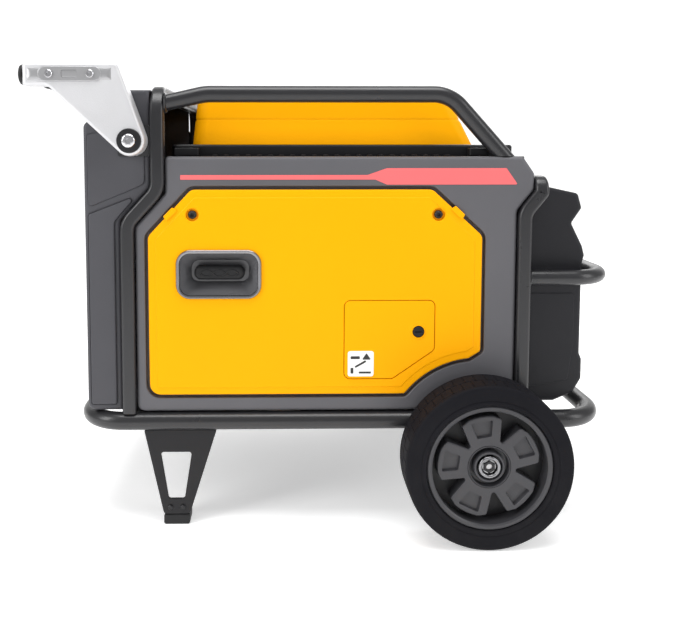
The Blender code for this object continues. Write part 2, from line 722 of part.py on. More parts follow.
def make_fascia(name, side):
    """Moulded side: a rounded face, an opening for the door, and a ledge behind the opening."""
    body = Body("Y")
    outline = fascia_corners()
    face, back, ledge = side * FACE_Y, side * (FACE_Y - FASCIA_DEEP), side * (FACE_Y - LEDGE)
    outer = [body.ring(rounded(grown(outline, -EDGE_EASE)), face),
             body.ring(rounded(grown(outline, -EDGE_EASE * 0.3)), side * (FACE_Y - EDGE_EASE * 0.3)),
             body.ring(rounded(outline), side * (FACE_Y - EDGE_EASE)), body.ring(rounded(outline), back)]
    opening = rounded(grown(door_corners(), GROOVE))
    lap = rounded(grown(door_corners(), -LEDGE_LAP))
    inner = [body.ring(opening, face), body.ring(opening, ledge), body.ring(lap, ledge), body.ring(lap, back)]
    body.wall(*outer)
    body.wall(*inner)
    body.end(outer[0], inner[0])
    body.end(outer[-1], inner[-1])
    add(name, body.bm, GREY)


DOOR_BACK = FACE_Y - LEDGE + GAP
DOOR_EASE = 0.002


def make_service_door():
    """Yellow door, screwed to the fascia, with openings for the starter and the oil hatch."""
    corners = door_corners()
    hatch = rounded(grown(hatch_corners(), PLAY))
    cup = rounded(grown(starter_corners(), -BEZEL_WIDE + CUP_WALL + GAP))
    screws = [circle(place, SCREW_HEAD + GAP, 16) for place in screw_places().values()]
    body = Body("Y")
    outer = [body.ring(rounded(grown(corners, -DOOR_EASE)), -DOOR_Y),
             body.ring(rounded(corners), -DOOR_Y + DOOR_EASE), body.ring(rounded(corners), -DOOR_BACK)]
    body.wall(*outer)
    holes = []
    for outline in (hatch, cup):
        pair = (body.ring(outline, -DOOR_Y), body.ring(outline, -DOOR_BACK))
        body.wall(*pair)
        holes.append(pair)
    for outline, place in zip(screws, screw_places().values()):
        shank = circle(place, 0.0045, 16)
        seat = -DOOR_Y + SCREW_SEAT
        rings = [body.ring(outline, -DOOR_Y), body.ring(outline, seat), body.ring(shank, seat),
                 body.ring(shank, -DOOR_BACK)]
        body.wall(*rings)
        holes.append((rings[0], rings[-1]))
    body.end(outer[0], *[pair[0] for pair in holes])
    body.end(outer[-1], *[pair[1] for pair in holes])
    add("service_door", body.bm, YELLOW)



def make_door_screw(name, place):
    """Socket screw in a dimple of the door."""
    head = circle(place, SCREW_HEAD, 16)
    shank = circle(place, 0.004, 16)
    socket = circle(place, 0.0035, 16)
    body = Body("Y")
    seat = -DOOR_Y + SCREW_SEAT - GAP
    front = -DOOR_Y + 0.0006
    rings = [body.ring(socket, front + 0.003), body.ring(socket, front), body.ring(head, front),
             body.ring(head, seat), body.ring(shank, seat), body.ring(shank, -DOOR_BACK)]
    body.wall(*rings)
    body.end(rings[0])
    body.end(rings[-1])
    add(name, body.bm, DARK)


def make_far_panel():
    """Panel of the far side, the same shape as the door, with a row of air slots."""
    corners = door_corners()
    slots = []
    slot_long, slot_tall, pitch = 0.16, 0.010, 0.026
    middle = (from_left(DOOR_LEFT) + from_right(-DOOR_RIGHT)) / 2
    for row in range(5):
        z = up(0.17) + row * pitch
        slots.append(rounded(box_corners(middle - slot_long / 2, middle + slot_long / 2, z, z + slot_tall, 0.003), 2))
    body = Body("Y")
    outer = [body.ring(rounded(grown(corners, -DOOR_EASE)), DOOR_Y),
             body.ring(rounded(corners), DOOR_Y - DOOR_EASE), body.ring(rounded(corners), DOOR_BACK)]
    body.wall(*outer)
    pairs = [(body.ring(slot, DOOR_Y), body.ring(slot, DOOR_BACK)) for slot in slots]
    for pair in pairs:
        body.wall(*pair)
    body.end(outer[0], *[pair[0] for pair in pairs])
    body.end(outer[-1], *[pair[1] for pair in pairs])
    add("far_panel", body.bm, YELLOW)


# ---------------------------------------------------------------- pull starter
ROPE_X = from_left(STARTER_LEFT + STARTER_LENGTH / 2)
ROPE_Z = up((STARTER_LOW + STARTER_HIGH) / 2)
CUP_FLOOR = -DOOR_Y + CUP_DEEP           # inside floor of the cup


def make_starter_bezel():
    """Bright ring round the starter recess."""
    outer = starter_corners()
    inner = rounded(grown(outer, -BEZEL_WIDE))
    add("starter_bezel", prism(outer, -DOOR_Y - 0.0035, -DOOR_Y - GAP, holes=[inner], ease=0.001), CHROME)


def make_starter_cup():
    """Funnel-shaped cup behind the bezel, with the rope hole in its floor."""
    mouth = grown(starter_corners(), -BEZEL_WIDE)
    floor = box_corners(ROPE_X - GRIP_LENGTH / 2 - 0.006, ROPE_X + GRIP_LENGTH / 2 + 0.006,
                        ROPE_Z - GRIP_TALL / 2 - 0.006, ROPE_Z + GRIP_TALL / 2 + 0.006, 0.012)
    hole = circle((ROPE_X, ROPE_Z), ROPE_RADIUS + PLAY, 16)
    body = Body("Y")
    front = -DOOR_Y
    rings = [body.ring(rounded(grown(mouth, CUP_WALL)), front), body.ring(rounded(grown(mouth, CUP_WALL)), front + 0.012),
             body.ring(rounded(grown(floor, CUP_WALL)), CUP_FLOOR + CUP_WALL)]
    inside = [body.ring(rounded(mouth), front), body.ring(rounded(mouth), front + 0.010),
              body.ring(rounded(floor), CUP_FLOOR)]
    hole_rings = [body.ring(hole, CUP_FLOOR), body.ring(hole, CUP_FLOOR + CUP_WALL)]
    body.wall(*rings)
    body.wall(*inside)
    body.wall(*hole_rings)
    body.wall(rings[0], inside[0])
    body.end(rings[-1], hole_rings[1])
    body.end(inside[-1], hole_rings[0])
    add("starter_cup", body.bm, DARK)


def make_starter_grip():
    """Oval pull grip; it slides straight out with the rope."""
    back = CUP_FLOOR - 0.004
    corners = box_corners(ROPE_X - GRIP_LENGTH / 2, ROPE_X + GRIP_LENGTH / 2,
                          ROPE_Z - GRIP_TALL / 2, ROPE_Z + GRIP_TALL / 2, GRIP_TALL * 0.45)
    place = (ROPE_X, back, ROPE_Z)
    add("starter_grip", prism(corners, back - GRIP_THICK, back, ease=0.003), RUBBER, at=place)
    rope = turned([(ROPE_RADIUS, back + GAP), (ROPE_RADIUS, back + PULL + 0.02)], "Y", (ROPE_X, ROPE_Z), 8)
    add("starter_rope", rope, DARK, at=place)


# ---------------------------------------------------------------- oil hatch
def make_oil_hatch():
    """Small lid over the oil filler, hinged on its left edge, with a quarter-turn lock."""
    corners = hatch_corners()
    lock_place = (from_right(-HATCH_RIGHT - LOCK_IN), up(HATCH_LOW + LOCK_UP))
    front = -DOOR_Y - 0.0006
    hole = circle(lock_place, LOCK_RADIUS + PLAY / 4, 20)
    hinge = (from_right(-HATCH_LEFT), front, up((HATCH_LOW + HATCH_HIGH) / 2))
    hatch = prism(corners, front, front + HATCH_THICK, holes=[hole], ease=0.0008)
    add("oil_hatch", hatch, YELLOW, at=hinge)
    lock = turned([(LOCK_RADIUS - 0.001, front - 0.001), (LOCK_RADIUS, front), (LOCK_RADIUS, front + HATCH_THICK)],
                  "Y", lock_place, 20)
    add("hatch_lock", lock, DARK, at=(lock_place[0], front, lock_place[1]))


# ---------------------------------------------------------------- top
TANK_NECK_RADIUS = 0.027
TANK_NECK_X = from_left(0.300)
CAP_Z = up(0.491)                        # underside of the fuel cap
COVER_Z = up(CASE_HEIGHT) + DECK_THICK + GAP
COVER_HOLE = CAP_RADIUS + 0.006


def make_top_deck():
    """Dark deck between the fascias, with a raised platform that carries the tank cover."""
    left = from_left(LEFT_JOG) + HOOP_BAND / 2 + GAP
    right = from_right(RIGHT_JOG) - HOOP_BAND / 2 - 0.012
    wide, narrow = FACE_Y - FASCIA_DEEP - GAP, SIDE_Y - DECK_IN
    skirt = box_corners(left, right, -wide, wide)
    platform = box_corners(left + 0.004, right - 0.008, -narrow, narrow, 0.008)
    neck = circle((TANK_NECK_X, 0.0), TANK_NECK_RADIUS + 0.003, 24)
    body = Body("Z")
    low, mid, high = up(CASE_HEIGHT) - 0.012, up(CASE_HEIGHT), up(CASE_HEIGHT) + DECK_THICK
    skirt_rings = [body.ring(rounded(skirt), low), body.ring(rounded(skirt), mid)]
    top_rings = [body.ring(rounded(platform), mid), body.ring(rounded(platform), high - 0.003),
                 body.ring(rounded(grown(platform, -0.003)), high)]
    neck_rings = [body.ring(neck, low), body.ring(neck, high)]
    for rings in (skirt_rings, top_rings, neck_rings):
        body.wall(*rings)
    body.end(skirt_rings[1], top_rings[0])
    body.end(skirt_rings[0], neck_rings[0])
    body.end(top_rings[-1], neck_rings[1])
    add("top_deck", body.bm, DARK)


def make_tank_cover():
    """Yellow cover over the tank, open below, with a well for the fuel cap."""
    left, right = from_left(TANK_COVER_LEFT), from_right(-TANK_COVER_RIGHT)
    half = SIDE_Y - TANK_COVER_Y_IN
    base = box_corners(left, right, -half, half, 0.020)
    top = box_corners(left + 0.008, right - TANK_COVER_SLANT, -half + 0.010, half - 0.010, 0.020)
    hole = circle((TANK_NECK_X, 0.0), COVER_HOLE, 28)
    high, ease = up(TANK_COVER_HIGH), 0.006
    body = Body("Z")
    outside = [body.ring(rounded(base), COVER_Z), body.ring(rounded(grown(top, ease / 3)), high - ease),
               body.ring(rounded(grown(top, -ease / 3)), high - ease / 3), body.ring(rounded(grown(top, -ease)), high)]
    inside = [body.ring(rounded(grown(base, -COVER_WALL)), COVER_Z),
              body.ring(rounded(grown(top, -COVER_WALL - ease / 3)), high - COVER_WALL)]
    well = [body.ring(hole, high), body.ring(hole, high - COVER_WALL)]
    body.wall(*outside)
    body.wall(*inside)
    body.wall(*well)
    body.wall(outside[0], inside[0])
    body.end(outside[-1], well[0])
    body.end(inside[-1], well[1])
    add("tank_cover", body.bm, YELLOW)


def make_fuel_tank():
    """Hollow tank under the deck, open at its neck."""
    low, high = up(0.280), up(CASE_HEIGHT) - 0.024
    wall = 0.004
    half = SIDE_Y - 0.077
    corners = box_corners(from_left(0.115), from_right(-0.110), -half, half, 0.025)
    inner = grown(corners, -wall)
    centre = (TANK_NECK_X, 0.0)
    neck_out, neck_in = circle(centre, TANK_NECK_RADIUS, 24), circle(centre, TANK_NECK_RADIUS - 0.003, 24)
    body = Body("Z")
    outside = [body.ring(rounded(grown(corners, -0.006)), low), body.ring(rounded(corners), low + 0.006),
               body.ring(rounded(corners), high - 0.006), body.ring(rounded(grown(corners, -0.006)), high)]
    neck = [body.ring(neck_out, high), body.ring(neck_out, CAP_Z - GAP), body.ring(neck_in, CAP_Z - GAP),
            body.ring(neck_in, high - wall)]
    inside = [body.ring(rounded(inner), low + wall), body.ring(rounded(inner), high - wall)]
    body.wall(*outside)
    body.wall(*neck)
    body.wall(*inside)
    body.end(outside[0])
    body.end(outside[-1], neck[0])
    body.end(inside[0])
    body.end(inside[-1], neck[-1])
    add("fuel_tank", body.bm, DARK)


def make_fuel_cap():
    shape = [(CAP_RADIUS - 0.002, CAP_Z), (CAP_RADIUS, CAP_Z + 0.003), (CAP_RADIUS, CAP_Z + CAP_HEIGHT - 0.004),
             (CAP_RADIUS - 0.004, CAP_Z + CAP_HEIGHT)]
    cap = turned(shape, "Z", (TANK_NECK_X, 0.0), 28)
    add("fuel_cap", cap, DARK, at=(TANK_NECK_X, 0.0, CAP_Z))


# ---------------------------------------------------------------- end covers
PANEL_HALF = 0.155
PANEL_LOW = 0.100
PANEL_HIGH = 0.290
OUTLET_Y = 0.060
OUTLET_Z = up(0.165)
OUTLET_RADIUS = 0.017


def make_cutter(name, bm):
    """A shape that is only used to cut others."""
    bmesh.ops.recalc_face_normals(bm, faces=bm.faces)
    mesh = bpy.data.meshes.new(name)
    bm.to_mesh(mesh)
    bm.free()
    cutter = bpy.data.objects.new(name, mesh)
    cutter.parent = bpy.data.objects["machine"]
    bpy.context.scene.collection.objects.link(cutter)
    return cutter


def make_left_cover():
    """Cover of the tow-handle end: it fits the left hoop and holds the control panel."""
    edge = HOOP_BAND / 2 + 2 * GAP
    hoop = side_line(LEFT_LEG, -edge)
    outer_x = LEFT_X - LEFT_COVER_OUT
    low, high, shoulder = up(FASCIA_LOW), up(LEFT_COVER_TOP), up(LEFT_COVER_SHOULDER)
    slope = high - shoulder
    half = SIDE_Y - LEFT_COVER_Y_IN
    outline = [(outer_x, low, 0.010), (hoop[0][0], low, 0.0), (*hoop[1], 0.004), (*hoop[2], 0.004),
               (hoop[2][0], high, 0.0), (outer_x + slope, high, 0.008), (outer_x, shoulder, 0.008)]
    cover = add("left_cover", prism(outline, -half, half, ease=0.005), GREY)
    wall = COVER_WALL
    hollow = [(outer_x + wall, low + wall, 0.008), (hoop[0][0] + 0.02, low + wall, 0.0),
              (hoop[2][0] + 0.02, hoop[1][1], 0.0), (hoop[2][0] + 0.02, high - wall, 0.0),
              (outer_x + slope + wall, high - wall, 0.006), (outer_x + wall, shoulder - wall / 2, 0.006)]
    cut(cover, make_cutter("left_hollow", prism(hollow, -half + wall, half - wall)))
    window = box_corners(-PANEL_HALF, PANEL_HALF, up(PANEL_LOW), up(PANEL_HIGH), 0.010)
    cut(cover, make_cutter("panel_window", prism(window, outer_x - 0.01, outer_x + wall + 0.005, axis="X")))


def make_right_cover():
    """Cover of the wheel end, with the exhaust outlet."""
    hoop_x = from_right(RIGHT_JOG) + HOOP_BAND / 2 + 2 * GAP
    under = up(RIGHT_HOOP_TOP) - HOOP_THICK / 2 - 2 * GAP
    inner_x = RIGHT_X - HOOP_BAND / 2
    out = from_right(RIGHT_COVER_OUT)
    low = up(FASCIA_LOW)
    half = SIDE_Y - RIGHT_COVER_Y_IN
    outline = [(inner_x, low, 0.0), (out - 0.045, low, 0.010), (out - 0.013, up(0.030), 0.008), (out, up(0.053), 0.008),
               (out, up(0.085), 0.004), (out - 0.004, up(0.095), 0.004), (out - 0.004, up(0.240), 0.004),
               (out, up(0.256), 0.004), (out - 0.004, up(0.271), 0.004), (out - 0.0225, up(0.308), 0.005),
               (out - 0.0063, up(0.3325), 0.005), (out - 0.013, up(0.356), 0.006), (hoop_x, up(0.3695), 0.0),
               (hoop_x, under, 0.0), (inner_x, under, 0.0)]
    cover = add("right_cover", prism(outline, -half, half, steps=3, ease=0.005), GREY)
    wall = COVER_WALL
    hollow = [(inner_x - 0.01, low + wall, 0.0), (out - 0.050, low + wall, 0.008), (out - 0.012, up(0.040), 0.008),
              (out - 0.012, up(0.262), 0.004), (out - 0.030, up(0.305), 0.004), (out - 0.020, up(0.345), 0.004),
              (hoop_x, up(0.3600), 0.0), (hoop_x, under - wall, 0.0), (inner_x - 0.01, under - wall, 0.0)]
    cut(cover, make_cutter("right_hollow", prism(hollow, -half + wall, half - wall)))
    hole = turned([(OUTLET_RADIUS + 0.004, out - 0.04), (OUTLET_RADIUS + 0.004, out + 0.01)], "X",
                  (OUTLET_Y, OUTLET_Z), 24)
    cut(cover, make_cutter("outlet_hole", hole))


# ---------------------------------------------------------------- control panel
PANEL_X = LEFT_X - LEFT_COVER_OUT + COVER_WALL + GAP      # outer face of the panel
PANEL_THICK = 0.003
DIAL = (-0.100, up(0.245))
ROCKER = (-0.100, up(0.160))
BUTTON = (0.105, up(0.245))
LID = (0.010, up(0.195))
LID_HALF = 0.030
LID_THICK = 0.0055
ROCKER_HALF = (0.008, 0.013)
BUTTON_RADIUS = 0.007


def make_control_panel():
    """Panel behind the window, with a dial, a rocker, a flap over the outlet and a push button."""
    corners = box_corners(-PANEL_HALF - 0.01, PANEL_HALF + 0.01, up(PANEL_LOW) - 0.01, up(PANEL_HIGH) + 0.01)
    rocker_hole = box_corners(ROCKER[0] - ROCKER_HALF[0] - PLAY, ROCKER[0] + ROCKER_HALF[0] + PLAY,
                              ROCKER[1] - ROCKER_HALF[1] - PLAY, ROCKER[1] + ROCKER_HALF[1] + PLAY)
    button_hole = circle(BUTTON, BUTTON_RADIUS + PLAY / 2, 16)
    holes = [rounded(rocker_hole), button_hole]
    add("control_panel", prism(corners, PANEL_X, PANEL_X + PANEL_THICK, axis="X", holes=holes), DARK)
    front = PANEL_X - GAP
    dial = turned([(0.020, front), (0.020, front - 0.005), (0.014, front - 0.007), (0.013, front - 0.018)],
                  "X", DIAL, 24)
    add("engine_dial", dial, DARK, at=(front, *DIAL))
    rocker = box_corners(ROCKER[0] - ROCKER_HALF[0], ROCKER[0] + ROCKER_HALF[0],
                         ROCKER[1] - ROCKER_HALF[1], ROCKER[1] + ROCKER_HALF[1], 0.001)
    middle = PANEL_X + PANEL_THICK / 2
    add("eco_switch", prism(rocker, middle - 0.005, middle + 0.003, axis="X"), DARK, at=(middle, *ROCKER))
    button = turned([(BUTTON_RADIUS, middle), (BUTTON_RADIUS, front - 0.008), (BUTTON_RADIUS - 0.001, front - 0.009)],
                    "X", BUTTON, 16)
    add("breaker_button", button, DARK, at=(front, *BUTTON))
    lid = box_corners(LID[0] - LID_HALF, LID[0] + LID_HALF, LID[1] - LID_HALF, LID[1] + LID_HALF, 0.005)
    add("socket_lid", prism(lid, front - LID_THICK, front, axis="X", ease=0.0015), DARK,
        at=(front - LID_THICK, LID[0], LID[1] + LID_HALF))


# ---------------------------------------------------------------- tow handle
ARM_TOP = BAR_RISE + GRIP_RADIUS
ARM_KNEE = BAR_RISE - GRIP_RADIUS


def arm_corners():
    """Outline of an arm: an eye round the pivot, a triangular plate and a level top."""
    corners = [(PIVOT_X + x, PIVOT_Z + z, radius) for x, z, radius in
               [(-0.0167, ARM_TOP, 0.006), (-0.1565, ARM_TOP, 0.003), (-0.1565, ARM_KNEE, 0.003),
                (-0.1200, ARM_KNEE, 0.012)]]
    corners += [(x, z, 0.0) for x, z in arc((PIVOT_X, PIVOT_Z), EYE_RADIUS, 222.0, 382.0, 10)]
    return corners


def make_arm(name, side):
    """Cast arm with the pivot hole right through and a blind socket for the cross-bar."""
    inner = side * (SIDE_Y + ARM_IN)
    outer = side * (SIDE_Y + ARM_IN + ARM_THICK)
    ease = side * 0.002
    outline = arm_corners()
    body = Body("Y")
    shell = [body.ring(rounded(outline), inner), body.ring(rounded(outline), outer - ease),
             body.ring(rounded(grown(outline, -0.002)), outer)]
    pivot = circle((PIVOT_X, PIVOT_Z), BOLT_RADIUS + PLAY / 4, 20)
    pivot_rings = [body.ring(pivot, inner), body.ring(pivot, outer)]
    socket = circle((BAR_X, BAR_Z), BAR_RADIUS + GAP, 20)
    socket_rings = [body.ring(socket, inner), body.ring(socket, inner + side * 0.012)]
    for rings in (shell, pivot_rings, socket_rings):
        body.wall(*rings)
    body.end(shell[0], pivot_rings[0], socket_rings[0])
    body.end(shell[-1], pivot_rings[1])
    body.end(socket_rings[1])
    place = (PIVOT_X, side * (SIDE_Y + ARM_IN), PIVOT_Z)
    add("arm_" + name, body.bm, CAST, at=place)
    cap_right = PIVOT_X - 0.1565 - GAP
    middle = (inner + outer) / 2
    cap = turned([(GRIP_RADIUS - 0.002, cap_right), (GRIP_RADIUS - 0.002, cap_right - 0.004),
                  (GRIP_RADIUS - 0.004, cap_right - CAP_REACH)], "X", (middle, BAR_Z), 24)
    add("arm_cap_" + name, cap, RUBBER, at=place)



def make_pivot(name, side):
    """Lug on the hoop that carries the pivot bolt, and the bolt with its washer."""
    lug_right = from_left(LEFT_JOG) - HOOP_BAND / 2 - GAP
    lug_in = SIDE_Y - LEFT_COVER_Y_IN + GAP
    lug_out = SIDE_Y + ARM_IN - GAP
    corners = box_corners(PIVOT_X - LUG_HALF, lug_right, PIVOT_Z - LUG_HALF, PIVOT_Z + LUG_HALF, 0.004)
    hole = circle((PIVOT_X, PIVOT_Z), BOLT_RADIUS + GAP, 20)
    add("pivot_lug_" + name, prism(corners, *sorted((side * lug_in, side * lug_out)), holes=[hole]), COAT)
    face = SIDE_Y + ARM_IN + ARM_THICK + GAP
    shape = [(BOLT_RADIUS, lug_in), (BOLT_RADIUS, face), (EYE_RADIUS - 0.0045, face), (EYE_RADIUS - 0.0045, face + 0.002),
             (0.0105, face + 0.003), (0.0105, face + 0.0065), (0.008, face + 0.008)]
    bolt = turned([(radius, side * depth) for radius, depth in shape], "Y", (PIVOT_X, PIVOT_Z), 20)
    add("pivot_bolt_" + name, bolt, STEEL, at=(PIVOT_X, side * face, PIVOT_Z))


def make_handle_bar():
    """Cross-bar between the arms, with its soft grip."""
    end = SIDE_Y + ARM_IN + 0.0115
    place = (PIVOT_X, 0.0, PIVOT_Z)
    bar = turned([(BAR_RADIUS, -end), (BAR_RADIUS, end)], "Y", (BAR_X, BAR_Z), 20)
    add("handle_crossbar", bar, STEEL, at=place)
    half = SIDE_Y - 0.035
    inner = BAR_RADIUS + GAP
    shape = [(inner, -half), (GRIP_RADIUS - 0.001, -half), (GRIP_RADIUS, -half + 0.003), (GRIP_RADIUS, half - 0.003),
             (GRIP_RADIUS - 0.001, half), (inner, half)]
    add("handle_grip", turned(shape, "Y", (BAR_X, BAR_Z), 20, closed=True), RUBBER, at=place)


# ---------------------------------------------------------------- inside
CRANK = (from_left(0.356), up(0.130))
BENCH_Z = PAN_Z + GAP
ENGINE_FRONT = -0.090
STATOR_RADIUS = 0.085
ROTOR_RADIUS = 0.058
REEL_RADIUS = 0.050


def make_engine():
    """Crankcase and finned cylinder under the tank."""
    centre_x = CRANK[0]
    case = box_corners(centre_x - 0.085, centre_x + 0.085, ENGINE_FRONT, 0.120, 0.012)
    barrel = box_corners(centre_x - 0.045, centre_x + 0.045, -0.045, 0.075, 0.010)
    body = Body("Z")
    top = CRANK[1] + 0.060
    rings = [body.ring(rounded(case), BENCH_Z), body.ring(rounded(case), top)]
    neck = [body.ring(rounded(barrel), top)]
    fin_pitch, fin_deep = 0.020, 0.008
    for fin in range(3):
        base = top + 0.004 + fin * fin_pitch
        wide = rounded(grown(barrel, fin_deep))
        slim = rounded(barrel)
        neck += [body.ring(slim, base), body.ring(wide, base), body.ring(wide, base + 0.003),
                 body.ring(slim, base + 0.003)]
    body.wall(*rings)
    body.wall(*neck)
    body.end(rings[0])
    body.end(rings[1], neck[0])
    body.end(neck[-1])
    add("engine_block", body.bm, CAST)


def make_alternator():
    """Stator, the rotor inside it, and the rope reel in front."""
    back = ENGINE_FRONT - 0.030
    front = back - 0.070
    ring = [(ROTOR_RADIUS + PLAY, back), (STATOR_RADIUS, back), (STATOR_RADIUS, front), (ROTOR_RADIUS + PLAY, front)]
    add("stator", turned(ring, "Y", CRANK, 32, closed=True), COPPER)
    shape = [(0.011, ENGINE_FRONT - GAP), (0.011, back + 0.004), (ROTOR_RADIUS, back + 0.002), (ROTOR_RADIUS, front),
             (0.011, front - 0.003), (0.011, front - 0.006)]
    add("rotor", turned(shape, "Y", CRANK, 28), STEEL, at=(CRANK[0], front, CRANK[1]))
    reel_back = front - 0.006 - GAP
    shape = [(0.050, reel_back), (0.060, reel_back - 0.001), (0.060, reel_back - 0.004), (REEL_RADIUS, reel_back - 0.005),
             (REEL_RADIUS, reel_back - 0.012), (0.060, reel_back - 0.013), (0.060, reel_back - 0.016),
             (0.050, reel_back - 0.017)]
    add("recoil_reel", turned(shape, "Y", CRANK, 24), DARK, at=(CRANK[0], reel_back, CRANK[1]))



def make_muffler():
    """Muffler box whose outlet pipe ends in the right cover."""
    left, right = from_right(-0.112), from_right(-0.016)
    corners = box_corners(-0.120, 0.120, OUTLET_Z - 0.065, OUTLET_Z + 0.065, 0.020)
    pipe = circle((OUTLET_Y, OUTLET_Z), OUTLET_RADIUS, 20)
    bore = circle((OUTLET_Y, OUTLET_Z), OUTLET_RADIUS - 0.003, 20)
    mouth = from_right(RIGHT_COVER_OUT) - 0.006
    body = Body("X")
    shell = [body.ring(rounded(grown(corners, -0.006)), left), body.ring(rounded(corners), left + 0.006),
             body.ring(rounded(corners), right - 0.006), body.ring(rounded(grown(corners, -0.006)), right)]
    tube = [body.ring(pipe, right), body.ring(pipe, mouth), body.ring(bore, mouth), body.ring(bore, mouth - 0.060)]
    body.wall(*shell)
    body.wall(*tube)
    body.end(shell[0])
    body.end(shell[-1], tube[0])
    body.end(tube[-1])
    add("muffler", body.bm, STEEL)


def make_electrics():
    """Finned inverter and battery behind the control panel."""
    left, right = from_left(0.008), from_left(0.105)
    body = Body("X")
    half, low, high = 0.180, up(0.130), up(0.270)
    slim = rounded(box_corners(-half + 0.01, half - 0.01, low + 0.01, high - 0.01, 0.004))
    wide = rounded(box_corners(-half, half, low, high, 0.004))
    rings = [body.ring(wide, left), body.ring(wide, left + 0.025), body.ring(slim, left + 0.025)]
    for fin in range(3):
        start = left + 0.034 + fin * 0.022
        rings += [body.ring(slim, start), body.ring(wide, start), body.ring(wide, start + 0.004),
                  body.ring(slim, start + 0.004)]
    body.wall(*rings)
    body.end(rings[0])
    body.end(rings[-1])
    add("inverter_module", body.bm, CAST)
    add("battery", block((left, right - 0.012), (-0.090, 0.090), (BENCH_Z, BENCH_Z + 0.085), ease=0.003), DARK)


# ---------------------------------------------------------------- the whole machine
def make_machine():
    clear_scene()
    machine = bpy.data.objects.new("machine", None)
    bpy.context.scene.collection.objects.link(machine)
    high_end = RIGHT_X + BUMPER_REACH + BUMPER_RADIUS
    low_end = PIVOT_X - 0.1565 - GAP - CAP_REACH
    machine.location.x = -(high_end + low_end) / 2
    make_base_loop()
    make_floor_pan()
    make_hoop("left_hoop", LEFT_LEG, LEFT_HOOP_BEND)
    make_hoop("right_hoop", RIGHT_LEG, RIGHT_HOOP_BEND)
    make_end_bumper()
    make_axle()
    for name, side in (("near", -1), ("far", 1)):
        make_roll_bar("roll_bar_" + name, side)
        make_axle_bracket("axle_bracket_" + name, side)
        make_foot(name, side)
        make_tyre("tyre_" + name, side)
        make_rim("rim_" + name, side)
        make_axle_nut("axle_nut_" + name, side)
        make_fascia("fascia_" + name, side)
        make_arm(name, side)
        make_pivot(name, side)
    make_service_door()
    for name, place in screw_places().items():
        make_door_screw("door_screw_" + name, place)
    make_far_panel()
    make_starter_bezel()
    make_starter_cup()
    make_starter_grip()
    make_oil_hatch()
    make_top_deck()
    make_tank_cover()
    make_fuel_tank()
    make_fuel_cap()
    make_left_cover()
    make_right_cover()
    make_control_panel()
    make_handle_bar()
    make_engine()
    make_alternator()
    make_muffler()
    make_electrics()


make_machine()
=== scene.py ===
"""Looks of the portable generator: finished surfaces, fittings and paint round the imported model."""
import json
import math

import bmesh
import bpy
from mathutils import Matrix, Vector


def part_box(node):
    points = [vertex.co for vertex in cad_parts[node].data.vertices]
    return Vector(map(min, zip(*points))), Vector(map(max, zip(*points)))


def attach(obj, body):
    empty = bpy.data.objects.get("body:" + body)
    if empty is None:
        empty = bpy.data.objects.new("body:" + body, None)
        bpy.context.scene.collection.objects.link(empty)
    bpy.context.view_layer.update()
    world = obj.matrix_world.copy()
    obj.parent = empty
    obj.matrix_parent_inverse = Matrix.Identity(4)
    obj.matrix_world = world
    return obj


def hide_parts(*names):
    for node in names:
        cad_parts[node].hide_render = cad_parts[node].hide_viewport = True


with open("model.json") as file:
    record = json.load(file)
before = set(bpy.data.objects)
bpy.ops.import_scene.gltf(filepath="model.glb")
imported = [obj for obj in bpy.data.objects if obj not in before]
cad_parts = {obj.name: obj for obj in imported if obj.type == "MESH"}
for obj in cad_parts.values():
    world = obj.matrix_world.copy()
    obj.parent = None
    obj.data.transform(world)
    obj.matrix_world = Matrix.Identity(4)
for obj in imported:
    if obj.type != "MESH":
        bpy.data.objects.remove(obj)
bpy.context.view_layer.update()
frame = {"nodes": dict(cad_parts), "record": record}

# ---------------------------------------------------------------- places read from the frame
BOX = {name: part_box(name) for name in frame["nodes"]}


def low(node, axis):
    """Lowest coordinate of a node along X, Y or Z."""
    return BOX[node][0]["XYZ".index(axis)]


def high(node, axis):
    """Highest coordinate of a node along X, Y or Z."""
    return BOX[node][1]["XYZ".index(axis)]


def middle(node, axis):
    """Centre coordinate of a node along X, Y or Z."""
    return (low(node, axis) + high(node, axis)) / 2


SIDES = {"near": -1, "far": 1}
LOOP_RADIUS = 0.014                            # of the base loop's tube
BAND_HALF = 0.01075                            # half the width of a hoop's flat tube
SIDE_Y = (high("base_loop", "Y") - low("base_loop", "Y")) / 2 - LOOP_RADIUS
LOOP_Z = middle("base_loop", "Z")
LEFT_X = low("left_hoop", "X") + BAND_HALF     # leg lines of the two hoops
RIGHT_X = low("right_hoop", "X") + BAND_HALF
AXLE_X, AXLE_Z = middle("tyre_near", "X"), middle("tyre_near", "Z")
FACE_Y = high("fascia_far", "Y")
DOOR_Y = high("far_panel", "Y")
CASE_TOP = high("fascia_near", "Z")
PIVOT_X, PIVOT_Z = middle("pivot_bolt_near", "X"), middle("pivot_bolt_near", "Z")
BAR_X, BAR_Z = middle("handle_crossbar", "X"), middle("handle_crossbar", "Z")
LOCK_X, LOCK_Z = middle("hatch_lock", "X"), middle("hatch_lock", "Z")
ROPE_X, ROPE_Z = middle("starter_grip", "X"), middle("starter_grip", "Z")
GAP = 0.0004


# ---------------------------------------------------------------- materials
def mix_ramp(nodes, links, source, dark, light, low_at=0.3, high_at=0.7):
    """A colour ramp driven by a grey value."""
    ramp = nodes.new("ShaderNodeValToRGB")
    ramp.color_ramp.elements[0].position = low_at
    ramp.color_ramp.elements[0].color = (*dark, 1.0)
    ramp.color_ramp.elements[1].position = high_at
    ramp.color_ramp.elements[1].color = (*light, 1.0)
    links.new(source, ramp.inputs["Fac"])
    return ramp.outputs["Color"]


